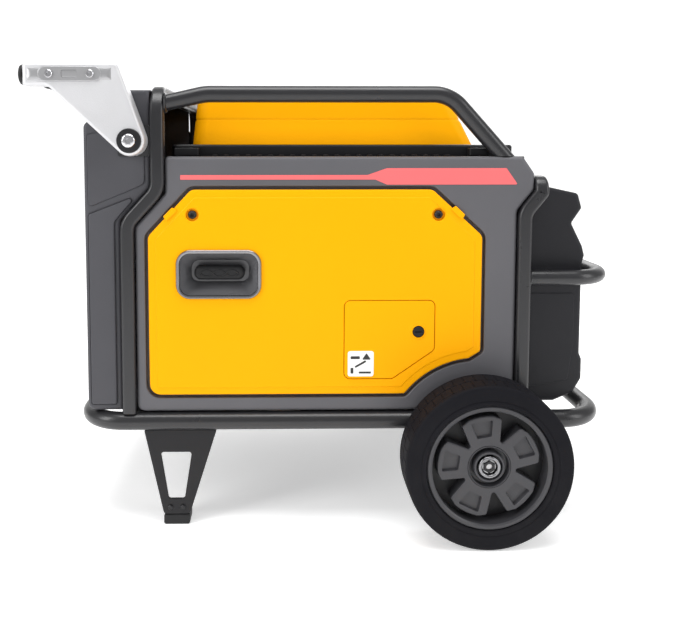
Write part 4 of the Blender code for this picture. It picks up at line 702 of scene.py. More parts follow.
def make_nut(side_name, side):
    """Bright retaining ring, with the black end of the axle bolt inside it."""
    front = max(low("axle_nut_" + side_name, "Y"), high("axle_nut_" + side_name, "Y"), key=abs)
    centre = (AXLE_X, AXLE_Z)

    def at(depth):
        return front - side * depth

    ring_shape = [(0.0114, at(0.0094)), (0.0168, at(0.0094)), (0.0170, at(0.0030)), (0.0164, at(0.0012)),
                  (0.0152, at(0.0004)), (0.0136, at(0.0002)), (0.0122, at(0.0010)), (0.0114, at(0.0026))]
    piece("hub_ring_" + side_name, turned(ring_shape, "Y", centre, 72, closed=True), TRIM,
          stands_for=["axle_nut_" + side_name])
    body = Body("Y")
    rings = [body.ring(circle(centre, radius, 6), at(depth)) for radius, depth in
             ((0.0098, 0.0090), (0.0098, 0.0040), (0.0088, 0.0030))]
    body.wall(*rings)
    recess = body.hole(circle(centre, 0.0046, 24), at(0.0030), at(0.0052))
    body.end(rings[-1], recess[0])
    body.end(recess[1])
    body.end(rings[0])
    piece("axle_bolt_" + side_name, body.bm, DARK_STEEL, slot="dark_screw")


for side_name, side in SIDES.items():
    wheel = "wheel_" + side_name
    make_tyre(side_name, side, wheel)
    make_rim(side_name, side, wheel)
    make_nut(side_name, side)
    make_foot(side_name, side)
make_frame()


# ---------------------------------------------------------------- fascias and door
def fascia_corners():
    """Outline of a fascia, which follows both hoops and slants down at its right top corner."""
    edge = BAND_HALF + 2 * GAP
    left, right = side_line(LEFT_LEG, edge), side_line(RIGHT_LEG, -edge)
    base = low("fascia_near", "Z")
    return [(left[0][0], base, 0.012), (right[0][0], base, 0.012), (*right[1], 0.008), (*right[2], 0.005),
            (right[2][0], CASE_TOP - 0.026, 0.005), (right[2][0] - 0.018, CASE_TOP, 0.006),
            (left[2][0], CASE_TOP, 0.006), (*left[2], 0.008), (*left[1], 0.010)]


DOOR_LEFT, DOOR_RIGHT = low("service_door", "X"), high("service_door", "X")
DOOR_LOW, DOOR_TOP = low("service_door", "Z"), high("service_door", "Z")
DOOR_SHOULDER = LOOP_Z + 0.293
ARCH = 0.1445


def door_corners():
    """Outline of the door: cut top corners, and an arch round the wheel."""
    start = math.degrees(math.acos((DOOR_LOW - AXLE_Z) / ARCH)) + 90.0
    arch = arc((AXLE_X, AXLE_Z), ARCH, start, 96.0, 14)
    corners = [(DOOR_LEFT, DOOR_LOW, 0.017)]
    corners += [(x, z, 0.006 if index in (0, 14) else 0.0) for index, (x, z) in enumerate(arch)]
    return corners + [(DOOR_RIGHT, LOOP_Z + 0.111, 0.006), (DOOR_RIGHT, DOOR_SHOULDER, 0.014),
                      (DOOR_RIGHT - 0.078, DOOR_TOP, 0.014), (DOOR_LEFT + 0.067, DOOR_TOP, 0.014),
                      (DOOR_LEFT, DOOR_SHOULDER, 0.014)]


def make_fascia(side_name, side):
    """Moulded side with well-rounded edges and a ledge behind the opening for the door."""
    body = Body("Y")
    outline = fascia_corners()
    face, inward = side * FACE_Y, -side
    back, ledge = face + inward * 0.017, face + inward * 0.010
    outer = body.eased(outline, face, inward, 0.0065, curve=6)
    rear = body.ring(rounded(outline), back)
    body.wall(outer[-1], rear)
    door = door_corners()
    inner = body.eased(grown(door, 0.0055), face, inward, 0.0018, curve=4, flip=-1.0)
    shelf = [body.ring(rounded(grown(door, 0.0055)), ledge), body.ring(rounded(grown(door, -0.008)), ledge),
             body.ring(rounded(grown(door, -0.008)), back)]
    body.wall(inner[-1], *shelf)
    body.end(outer[0], inner[0])
    body.end(rear, shelf[-1])
    piece("fascia_shell_" + side_name, body.bm, GREY, stands_for=["fascia_" + side_name])


CREASE_Z, CREASE_X = 0.292, 0.118
TILT = math.tan(math.radians(1.5))


def creased(bm, front):
    """Split the front of a door piece along its two creases, and lean the lower part inwards."""
    for place, normal in (((0.0, 0.0, CREASE_Z), (0.0, 0.0, 1.0)), ((CREASE_X, 0.0, 0.0), (1.0, 0.0, 0.0))):
        geometry = bm.verts[:] + bm.edges[:] + bm.faces[:]
        bmesh.ops.bisect_plane(bm, geom=geometry, plane_co=place, plane_no=normal, dist=1e-7)
    for vert in bm.verts:
        if vert.co.y < front + 0.0045 and vert.co.z < CREASE_Z:
            vert.co.y += (CREASE_Z - vert.co.z) * TILT
    return bm


def starter_corners(distance=0.0):
    box = box_corners(low("starter_bezel", "X"), high("starter_bezel", "X"), low("starter_bezel", "Z"),
                      high("starter_bezel", "Z"), 0.022)
    return grown(box, distance)


HATCH = (low("oil_hatch", "X"), high("oil_hatch", "X"), low("oil_hatch", "Z"), high("oil_hatch", "Z"))


def hatch_corners():
    left, right, base, top = HATCH
    return [(left, base, 0.009), (right - 0.065, base, 0.009), (right, base + 0.0456, 0.009), (right, top, 0.009),
            (left, top, 0.009)]


SCREWS = {name: (middle("door_screw_" + name, "X"), middle("door_screw_" + name, "Z")) for name in ("left", "right")}


def make_door():
    """Yellow door with a raised inner field, creases, screw dimples and openings."""
    face, back = -DOOR_Y, -0.2624
    body = Body("Y")
    corners = door_corners()
    outer = body.eased(corners, face + 0.0008, 1.0, 0.0026, curve=5)
    rear = body.ring(rounded(corners), back)
    body.wall(outer[-1], rear)
    step = [body.ring(rounded(grown(corners, -0.0115)), face + 0.0008),
            body.ring(rounded(grown(corners, -0.0128)), face)]
    body.wall(*step)
    body.end(outer[0], step[0])
    rims, ends = [], []
    for opening in (hatch_corners(), starter_corners(-0.0055 + 0.0024)):
        lip = body.eased(grown(opening, 0.0010), face, 1.0, 0.0008, curve=3, flip=-1.0)
        through = body.ring(rounded(grown(opening, 0.0010)), back)
        body.wall(lip[-1], through)
        rims.append(lip[0])
        ends.append(through)
    for place in SCREWS.values():
        rings = [body.ring(circle(place, radius, 40), face + depth)
                 for radius, depth in ((0.0112, 0.0), (0.0104, 0.0005), (0.0099, 0.0016), (0.0099, 0.0050))]
        shank = [body.ring(circle(place, 0.0045, 40), face + 0.0050), body.ring(circle(place, 0.0045, 40), back)]
        body.wall(*rings, *shank)
        rims.append(rings[0])
        ends.append(shank[-1])
    body.end(step[1], *rims)
    body.end(rear, *ends)
    piece("door_panel", creased(body.bm, face), YELLOW, stands_for=["service_door"], sharp=24.0)
    for name, place in SCREWS.items():
        front = face + 0.0010
        screw = Body("Y")
        rings = [screw.ring(circle(place, 0.0030, 6), front + 0.0030), screw.ring(circle(place, 0.0030, 6), front)]
        screw.wall(*rings)
        screw.end(rings[0])
        head = [screw.ring(circle(place, radius, 40), front + depth)
                for radius, depth in ((0.0046, -0.0004), (0.0060, 0.0004), (0.0066, 0.0016), (0.0066, 0.0044))]
        screw.wall(*head)
        screw.end(rings[1], head[0])
        screw.end(head[-1])
        piece("door_bolt_" + name, screw.bm, DARK_STEEL, stands_for=["door_screw_" + name])
    for name, spot, turn in (("left", (DOOR_LEFT + 0.0345, DOOR_TOP - 0.0370), 45.0),
                             ("right", (DOOR_RIGHT - 0.0385, DOOR_TOP - 0.0350), -43.0)):
        angle = math.radians(turn)
        tab = []
        for along, across in ((-0.012, -0.0045), (0.012, -0.0045), (0.010, 0.0045), (-0.010, 0.0045)):
            tab.append((spot[0] + along * math.cos(angle) - across * math.sin(angle),
                        spot[1] + along * math.sin(angle) + across * math.cos(angle), 0.0022))
        piece("door_tab_" + name, prism(tab, face - 0.0016, face + 0.0012, ease=0.0010), YELLOW,
              slot="yellow_moulding")


def make_far_panel():
    """Panel of the far side: raised field and a bank of air slots with sloped lips."""
    face, back = DOOR_Y, 0.2624
    body = Body("Y")
    corners = door_corners()
    outer = body.eased(corners, face - 0.0008, -1.0, 0.0026, curve=5)
    rear = body.ring(rounded(corners), back)
    body.wall(outer[-1], rear)
    step = [body.ring(rounded(grown(corners, -0.0115)), face - 0.0008),
            body.ring(rounded(grown(corners, -0.0128)), face)]
    body.wall(*step)
    body.end(outer[0], step[0])
    centre = (DOOR_LEFT + DOOR_RIGHT) / 2
    rims, ends = [], []
    for row in range(5):
        z = LOOP_Z + 0.17 + row * 0.026
        slot_shape = box_corners(centre - 0.08, centre + 0.08, z, z + 0.010, 0.003)
        lip = body.eased(slot_shape, face, -1.0, 0.0010, curve=3, steps=4, flip=-1.0)
        through = body.ring(rounded(slot_shape, 4), back)
        body.wall(lip[-1], through)
        rims.append(lip[0])
        ends.append(through)
    body.end(step[1], *rims)
    body.end(rear, *ends)
    piece("far_side_panel", body.bm, YELLOW, stands_for=["far_panel"], sharp=24.0)


# ---------------------------------------------------------------- pull starter
def make_starter():
    """Bright bezel, a funnel-shaped cup with a round bottom edge, and the moulded grip."""
    face = -DOOR_Y
    ring_shape = [(0.0, face - 0.0004), (0.0, face - 0.0022), (-0.0010, face - 0.0034), (-0.0030, face - 0.0036),
                  (-0.0048, face - 0.0028), (-0.0055, face - 0.0012), (-0.0055, face - 0.0004)]
    body = Body("Y")
    rings = [body.ring(rounded(starter_corners(offset), 12), depth) for offset, depth in ring_shape]
    body.wall(*rings, rings[0])
    piece("starter_ring", body.bm, TRIM, stands_for=["starter_bezel"])
    bottom = low("starter_cup", "Y") + 0.036
    mouth = starter_corners(-0.0055)
    floor = box_corners(ROPE_X - 0.0455, ROPE_X + 0.0455, ROPE_Z - 0.017, ROPE_Z + 0.017, 0.012)
    shape = [(mouth, face + 0.0002), (mouth, face + 0.0080), (grown(mouth, -0.0020), face + 0.0120),
             (grown(floor, 0.0030), bottom - 0.0060), (grown(floor, 0.0010), bottom - 0.0020), (floor, bottom)]
    cup = Body("Y")
    inside = [cup.ring(rounded(corners, 12), depth) for corners, depth in shape]
    outside = [cup.ring(rounded(grown(corners, 0.0016), 12), depth) for corners, depth in
               ((mouth, face + 0.0002), (mouth, face + 0.0120), (floor, bottom + 0.0016))]
    hole = cup.hole(circle((ROPE_X, ROPE_Z), 0.0036, 32), bottom, bottom + 0.0016)
    cup.wall(*inside)
    cup.wall(*outside)
    cup.wall(inside[0], outside[0])
    cup.end(inside[-1], hole[0])
    cup.end(outside[-1], hole[1])
    piece("starter_funnel", cup.bm, CUP, stands_for=["starter_cup"])
    back, front = high("starter_grip", "Y"), low("starter_grip", "Y")
    corners = box_corners(ROPE_X - 0.0395, ROPE_X + 0.0395, ROPE_Z - 0.011, ROPE_Z + 0.011, 0.0105)
    piece("pull_grip", prism(corners, front, back, ease=0.0055, steps=12, curve=6), RUBBER, "starter_pull",
          stands_for=["starter_grip"])
    for index, phase in enumerate((0.0, math.pi)):
        wave = []
        for step_at in range(49):
            share = step_at / 48
            x = ROPE_X - 0.030 + 0.060 * share
            wave.append(Vector((x, front + 0.0002, ROPE_Z + 0.0052 * math.sin(3 * math.pi * share + phase))))
        piece("pull_grip_rib_%d" % (index + 1), swept(wave, tube_section(0.0013, 10), Vector((0, 0, 1))), RUBBER,
              "starter_pull", slot="soft_rubber")


# ---------------------------------------------------------------- oil hatch
def make_hatch():
    """Hatch with softened edges, its quarter-turn lock and a plain pictogram label."""
    front, back = low("oil_hatch", "Y"), high("oil_hatch", "Y")
    body = Body("Y")
    outer = body.eased(hatch_corners(), front, 1.0, 0.0012, curve=4)
    rear = body.ring(rounded(hatch_corners()), back)
    body.wall(outer[-1], rear)
    bore = body.hole(circle((LOCK_X, LOCK_Z), 0.0093, 40), front, back)
    body.end(outer[0], bore[0])
    body.end(rear, bore[1])
    piece("hatch_lid", creased(body.bm, front), YELLOW, "oil_hatch", stands_for=["oil_hatch"], sharp=24.0)
    lock = Body("Y")
    face = front - 0.0010
    rings = [lock.ring(circle((LOCK_X, LOCK_Z), radius, 48), face + depth)
             for radius, depth in ((0.0078, 0.0), (0.0088, 0.0008), (0.0090, 0.0016), (0.0090, 0.0058))]
    slot_shape = rounded(box_corners(LOCK_X - 0.0058, LOCK_X + 0.0058, LOCK_Z - 0.0010, LOCK_Z + 0.0010, 0.0006), 3)
    cut = lock.hole(slot_shape, face, face + 0.0022)
    lock.wall(*rings)
    lock.end(rings[0], cut[0])
    lock.end(cut[1])
    lock.end(rings[-1])
    bead_path = [Vector((x, front, z)) for x, z in circle((LOCK_X, LOCK_Z), 0.0105, 64)]
    piece("hatch_lock_rim", swept(bead_path, tube_section(0.0011, 10), Vector((0, 1, 0)), closed=True), YELLOW,
          "oil_hatch", slot="yellow_moulding")
    piece("hatch_lock_head", lock.bm, BLACK, "hatch_lock", stands_for=["hatch_lock"])
    lean = (CREASE_Z - 0.2625) * TILT
    label = prism(box_corners(0.0328, 0.0733, 0.2423, 0.2827, 0.004), front + lean - 0.0006, front + lean + 0.0004)
    piece("hatch_label", label, WHITE, "oil_hatch")
    marks = [box_corners(0.0372, 0.0515, 0.2700, 0.2745, 0.001), box_corners(0.0372, 0.0415, 0.2470, 0.2560, 0.001),
             [(0.0550, 0.2690, 0.001), (0.0690, 0.2690, 0.001), (0.0620, 0.2795, 0.001)],
             [(0.0500, 0.2470, 0.001), (0.0690, 0.2470, 0.001), (0.0690, 0.2500, 0.0), (0.0500, 0.2500, 0.001)],
             [(0.0450, 0.2560, 0.001), (0.0620, 0.2655, 0.001), (0.0600, 0.2680, 0.001), (0.0435, 0.2585, 0.001)]]
    for index, mark in enumerate(marks):
        piece("label_mark_%d" % (index + 1), prism(mark, front + lean - 0.0008, front + lean - 0.0005, steps=3), INK,
              "oil_hatch")


def make_stripe():
    """Painted red stripe on the near fascia: thin to the left, stepping up to a broad band."""
    shape = [(-0.226, 0.5506, 0.0), (0.074, 0.5506, 0.002), (0.092, 0.5428, 0.002), (0.295, 0.5428, 0.0015),
             (0.277, 0.5681, 0.0015), (0.092, 0.5681, 0.002), (0.062, 0.5576, 0.002), (-0.226, 0.5576, 0.0)]
    piece("fascia_stripe", prism(shape, -FACE_Y - 0.0003, -FACE_Y + 0.0002, steps=4), RED, slot="yellow_moulding")


for side_name, side in SIDES.items():
    make_fascia(side_name, side)
make_door()
make_far_panel()
make_starter()
make_hatch()
make_stripe()


# ---------------------------------------------------------------- top deck, tank cover and fuel cap
NECK_X = middle("fuel_cap", "X")


def make_deck():
    """Dark deck with a raised platform, and ribs along both long edges."""
    left, right = low("top_deck", "X"), high("top_deck", "X")
    wide, narrow = high("top_deck", "Y"), SIDE_Y - 0.045
    bottom, top = low("top_deck", "Z"), high("top_deck", "Z")
    body = Body("Z")
    skirt = box_corners(left, right, -wide, wide, 0.002)
    platform = box_corners(left + 0.004, right - 0.008, -narrow, narrow, 0.010)
    rim = [body.ring(rounded(skirt), bottom), body.ring(rounded(skirt), CASE_TOP - 0.001),
           body.ring(rounded(grown(skirt, -0.001)), CASE_TOP)]
    body.wall(*rim)
    raised = body.eased(platform, top, -1.0, 0.004, curve=5)
    foot = body.ring(rounded(platform), CASE_TOP)
    body.wall(raised[-1], foot)
    neck = body.hole(circle((NECK_X, 0.0), 0.030, 64), top, bottom)
    body.end(raised[0], neck[0])
    body.end(rim[-1], foot)
    body.end(rim[0], neck[1])
    piece("deck_moulding", body.bm, BLACK, stands_for=["top_deck"])
    for side_name, side in SIDES.items():
        rib = prism(box_corners(-0.0035, 0.0035, -0.010, 0.010, 0.0015), 0.0, 0.0026, axis="Z", ease=0.0008, steps=3)
        repeated("deck_ribs_" + side_name, "row", rib, BLACK, slot="black_moulding", Count=22,
                 Start=(left + 0.075, side * (SIDE_Y - 0.0335), CASE_TOP - 0.0002), Step=(0.0175, 0.0, 0.0))
        for label, spot, length in (("left", left + 0.030, 0.040), ("right", right - 0.068, 0.032)):
            block = prism(box_corners(spot - length / 2, spot + length / 2, *sorted((side * (SIDE_Y - 0.043),
                          side * (SIDE_Y - 0.024))), 0.003), CASE_TOP - 0.0002, CASE_TOP + 0.013,
                      axis="Z", ease=0.002)
            piece("deck_block_%s_%s" % (label, side_name), block, BLACK, slot="black_moulding")


def make_tank_cover():
    """Yellow cover with a slanted wheel end, soft edges and a pressed line along each long side."""
    left, right = low("tank_cover", "X"), high("tank_cover", "X")
    half, bottom, top = high("tank_cover", "Y"), low("tank_cover", "Z"), high("tank_cover", "Z")
    base = box_corners(left, right, -half, half, 0.022)
    crown = box_corners(left + 0.008, right - 0.039, -half + 0.010, half - 0.010, 0.022)

    def level(share):
        return [(a[0] + (b[0] - a[0]) * share, a[1] + (b[1] - a[1]) * share, a[2]) for a, b in zip(base, crown)]

    body = Body("Z")
    rise = top - bottom
    shape = [(level(0.0), bottom), (level(0.46), bottom + rise * 0.46),
             (grown(level(0.48), -0.0010), bottom + rise * 0.48),
             (grown(level(0.51), -0.0010), bottom + rise * 0.51), (level(0.53), bottom + rise * 0.53)]
    shape += [(grown(level(0.92), 0.0), top - 0.0075)]
    for angle in (18.0, 36.0, 54.0, 72.0, 90.0):
        turn = math.radians(angle)
        shape.append((grown(level(0.93), -0.0075 * (1.0 - math.cos(turn))), top - 0.0075 * (1.0 - math.sin(turn))))
    rings = [body.ring(rounded(corners, 10), depth) for corners, depth in shape]
    body.wall(*rings)
    inside = [body.ring(rounded(grown(base, -0.003), 10), bottom),
              body.ring(rounded(grown(level(0.9), -0.010), 10), top - 0.0035)]
    body.wall(*inside)
    body.wall(rings[0], inside[0])
    well = body.eased([(NECK_X - 0.042, -0.042, 0.0418), (NECK_X + 0.042, -0.042, 0.0418),
                       (NECK_X + 0.042, 0.042, 0.0418), (NECK_X - 0.042, 0.042, 0.0418)], top, -1.0, 0.0015, curve=3,
                      steps=16, flip=-1.0)
    floor = body.ring(rounded([(NECK_X + u * 0.042, v * 0.042, 0.0418) for u, v in
                               ((-1, -1), (1, -1), (1, 1), (-1, 1))], 16), top - 0.0035)
    body.wall(well[-1], floor)
    body.end(rings[-1], well[0])
    body.end(inside[-1], floor)
    piece("tank_cover_shell", body.bm, YELLOW, stands_for=["tank_cover"])


def make_fuel_cap():
    """Turned cap with a ring of grip ribs and a raised bar to turn it by."""
    base, top = low("fuel_cap", "Z"), high("fuel_cap", "Z")
    profile = [(0.0335, base), (0.0348, base + 0.0012), (0.0348, top - 0.0050), (0.0340, top - 0.0028),
               (0.0322, top - 0.0020), (0.0250, top - 0.0020), (0.0242, top - 0.0040)]
    piece("fuel_cap_body", turned(profile, "Z", (NECK_X, 0.0), 96), BLACK, "fuel_cap", stands_for=["fuel_cap"])
    bar = prism([(NECK_X - 0.023, -0.0055, 0.005), (NECK_X + 0.023, -0.0055, 0.005), (NECK_X + 0.023, 0.0055, 0.005),
                 (NECK_X - 0.023, 0.0055, 0.005)], top - 0.0050, top, axis="Z", ease=0.0018)
    piece("fuel_cap_bar", bar, BLACK, "fuel_cap", slot="black_moulding")
    rib = swept([Vector((0.0, 0.0, base + 0.0030)), Vector((0.0, 0.0, top - 0.0052))],
                circle((0.0, 0.0), 0.0011, 8), Vector((1, 0, 0)))
    repeated("fuel_cap_ribs", "circle", rib, BLACK, "fuel_cap", slot="black_moulding", Count=24, Radius=0.0350,
             Start=(NECK_X, 0.0, 0.0), Turn=0.0)


# ---------------------------------------------------------------- end covers
COVER_BAND = 0.0085                           # plain band of the end cover beside the hoop


def make_left_cover():
    """Cover of the handle end, with a raised outer field whose edge runs down across the side."""
    left = low("left_cover", "X")
    base, top, shoulder = low("left_cover", "Z"), high("left_cover", "Z"), LOOP_Z + 0.464
    half = high("left_cover", "Y")
    hoop = side_line(LEFT_LEG, -(BAND_HALF + 2 * GAP))
    slope = top - shoulder
    outline = [(left, base, 0.012), (hoop[0][0], base, 0.0), (*hoop[1], 0.012), (*hoop[2], 0.012),
               (hoop[2][0], top, 0.0),
               (left + slope, top, 0.010), (left, shoulder, 0.010)]
    body = Body("Y")
    near = body.eased(outline, -half, 1.0, 0.006, curve=5)
    far = body.eased(outline, half, -1.0, 0.006, curve=5)
    body.wall(near[-1], far[-1])
    body.end(near[0])
    body.end(far[0])
    bm = body.bm
    bmesh.ops.recalc_face_normals(bm, faces=bm.faces)
    shell = bpy.data.meshes.new("left_cover_shape")
    bm.to_mesh(shell)
    bm.free()
    holder = bpy.data.objects.new("left_cover_shape", shell)
    hollow = [(left + 0.003, base + 0.003, 0.008), (hoop[0][0] + 0.03, base + 0.003, 0.0),
              (hoop[2][0] + 0.03, hoop[1][1], 0.0), (hoop[2][0] + 0.03, top - 0.003, 0.0),
              (left + slope + 0.003, top - 0.003, 0.006), (left + 0.003, shoulder - 0.0015, 0.006)]
    window = box_corners(-0.155, 0.155, LOOP_Z + 0.100, LOOP_Z + 0.290, 0.010)
    cutters = [prism(hollow, -half + 0.003, half - 0.003), prism(window, left - 0.01, left + 0.008, axis="X")]
    result = carved(holder, cutters)
    piece("handle_end_cover", result, COVER, stands_for=["left_cover"])
    for side_name, side in SIDES.items():
        slant = hoop[1][1] + 0.78 * (hoop[2][1] - hoop[1][1])
        reach = hoop[1][0] + 0.78 * (hoop[2][0] - hoop[1][0]) - COVER_BAND
        field = [(left + 0.0060, base + 0.010, 0.004), (hoop[0][0] - COVER_BAND, base + 0.010, 0.004),
                 (hoop[1][0] - COVER_BAND, hoop[1][1] - 0.002, 0.012), (reach, slant, 0.004),
                 (left + 0.0060, hoop[1][1] + 0.010, 0.006)]
        panel = prism(field, *sorted((side * (half - 0.0010), side * (half + 0.0026))), ease=0.0030, curve=5)
        piece("handle_end_field_" + side_name, panel, COVER, slot="grey_moulding")
        rise = [(left + 0.0060, hoop[1][1] + 0.020, 0.006), (reach - 0.004, slant + 0.010, 0.004),
                (hoop[2][0] - COVER_BAND, hoop[2][1] + 0.006, 0.010),
                (hoop[2][0] - COVER_BAND, shoulder - 0.004, 0.004),
                (left + slope + 0.0020, shoulder - 0.004, 0.004), (left + 0.0060, shoulder - 0.014, 0.006)]
        panel = prism(rise, *sorted((side * (half - 0.0010), side * (half + 0.0016))), ease=0.0020, curve=4)
        piece("handle_end_rise_" + side_name, panel, COVER, slot="grey_moulding")
    frame_outer = rounded(grown(window, 0.007), 8)
    body = Body("X")
    rings = [body.ring(outline_at, depth) for outline_at, depth in
             ((frame_outer, left + 0.0002), (rounded(grown(window, 0.006), 8), left - 0.0018),
              (rounded(grown(window, 0.0012), 8), left - 0.0018), (rounded(window, 8), left + 0.0002))]
    body.wall(*rings, rings[0])
    piece("panel_window_frame", body.bm, BLACK, slot="black_moulding")
    slat = prism(box_corners(-0.060, 0.060, -0.0030, 0.0030, 0.0028), left - 0.0016, left + 0.0004, axis="X", steps=4,
                 ease=0.0007)
    repeated("handle_end_slats", "row", slat, BLACK, slot="black_moulding", Count=6,
             Start=(0.0, 0.0, LOOP_Z + 0.318), Step=(0.0, 0.0, 0.0150))


def carved(holder, cutters):
    """Cut shapes out of a mesh and return what is left."""
    bpy.context.scene.collection.objects.link(holder)
    used = [holder]
    for index, cutter_bm in enumerate(cutters):
        bmesh.ops.recalc_face_normals(cutter_bm, faces=cutter_bm.faces)
        mesh = bpy.data.meshes.new("cutter")
        cutter_bm.to_mesh(mesh)
        cutter_bm.free()
        cutter = bpy.data.objects.new("cutter_%d" % index, mesh)
        bpy.context.scene.collection.objects.link(cutter)
        cut = holder.modifiers.new("cut_%d" % index, "BOOLEAN")
        cut.operation, cut.solver, cut.object = "DIFFERENCE", "EXACT", cutter
        used.append(cutter)
    graph = bpy.context.evaluated_depsgraph_get()
    done = bpy.data.meshes.new_from_object(holder.evaluated_get(graph))
    bm = bmesh.new()
    bm.from_mesh(done)
    for each in used:
        bpy.data.objects.remove(each, do_unlink=True)
    return bm


def make_right_cover():
    """Cover of the wheel end, with its waist line, notched shoulder, vent slats and exhaust ring."""
    out, base = high("right_cover", "X"), low("right_cover", "Z")
    half = high("right_cover", "Y")
    hoop_x, inner_x = RIGHT_X + 0.0256 + BAND_HALF + 2 * GAP, RIGHT_X - BAND_HALF
    under = LOOP_Z + 0.375 - 0.011 - 2 * GAP

    def at(in_from_out, height, radius):
        return (out - in_from_out, LOOP_Z + height, radius)

    outline = [(inner_x, base, 0.0), (out - 0.045, base, 0.012), at(0.013, 0.030, 0.010), at(0.0, 0.053, 0.010),
               at(0.0, 0.085, 0.005), at(0.004, 0.095, 0.005), at(0.004, 0.240, 0.005), at(0.0, 0.256, 0.005),
               at(0.004, 0.271, 0.005), at(0.0225, 0.308, 0.006), at(0.0063, 0.3325, 0.006), at(0.013, 0.356, 0.007),
               (hoop_x, LOOP_Z + 0.3695, 0.0), (hoop_x, under, 0.0), (inner_x, under, 0.0)]
    body = Body("Y")
    near = body.eased(outline, -half, 1.0, 0.006, curve=5)
    far = body.eased(outline, half, -1.0, 0.006, curve=5)
    body.wall(near[-1], far[-1])
    body.end(near[0])
    body.end(far[0])
    bm = body.bm
    bmesh.ops.recalc_face_normals(bm, faces=bm.faces)
    shell = bpy.data.meshes.new("right_cover_shape")
    bm.to_mesh(shell)
    bm.free()
    holder = bpy.data.objects.new("right_cover_shape", shell)
    hollow = [(inner_x - 0.01, base + 0.003, 0.0), (out - 0.050, base + 0.003, 0.008), at(0.012, 0.040, 0.008),
              at(0.012, 0.262, 0.004), at(0.030, 0.305, 0.004), at(0.020, 0.345, 0.004), (hoop_x, LOOP_Z + 0.36, 0.0),
              (hoop_x, under - 0.003, 0.0), (inner_x - 0.01, under - 0.003, 0.0)]
    outlet = (middle("muffler", "Y") + 0.060, LOOP_Z + 0.165)
    cutters = [prism(hollow, -half + 0.003, half - 0.003),
               turned([(0.021, out - 0.04), (0.021, out + 0.01)], "X", outlet, 64)]
    # The wheel-end cover takes the darker copy of the cover moulding: painted shade
    piece("wheel_end_cover", carved(holder, cutters), SHADED_COVER, stands_for=["right_cover"])
    collar = [(0.0212, out - 0.0050), (0.0270, out - 0.0050), (0.0270, out - 0.0032), (0.0255, out - 0.0020),
              (0.0222, out - 0.0020), (0.0212, out - 0.0034)]
    piece("exhaust_collar", turned(collar, "X", outlet, 64, closed=True), STEEL, slot="plain_steel")
    slat = prism(box_corners(-0.052, 0.052, -0.0032, 0.0032, 0.003), out - 0.0052, out - 0.0024, axis="X", steps=4,
                 ease=0.0007)
    repeated("wheel_end_slats", "row", slat, BLACK, slot="black_moulding", Count=8,
             Start=(0.0, -0.115, LOOP_Z + 0.113), Step=(0.0, 0.0, 0.0160))
    for side_name, side in SIDES.items():
        field = [(RIGHT_X + 0.018, LOOP_Z + 0.040, 0.006), (out - 0.024, LOOP_Z + 0.052, 0.006),
                 (out - 0.016, LOOP_Z + 0.110, 0.006), (out - 0.016, LOOP_Z + 0.195, 0.006),
                 (RIGHT_X + 0.018, LOOP_Z + 0.195, 0.006)]
        panel = prism(field, *sorted((side * (half - 0.0010), side * (half + 0.0018))), ease=0.0014, curve=4)
        # The raised fields take the darker copy of the cover moulding: painted shade
        piece("wheel_end_field_" + side_name, panel, SHADED_COVER, slot="grey_moulding")


# ---------------------------------------------------------------- control panel
PANEL_FACE = low("control_panel", "X")


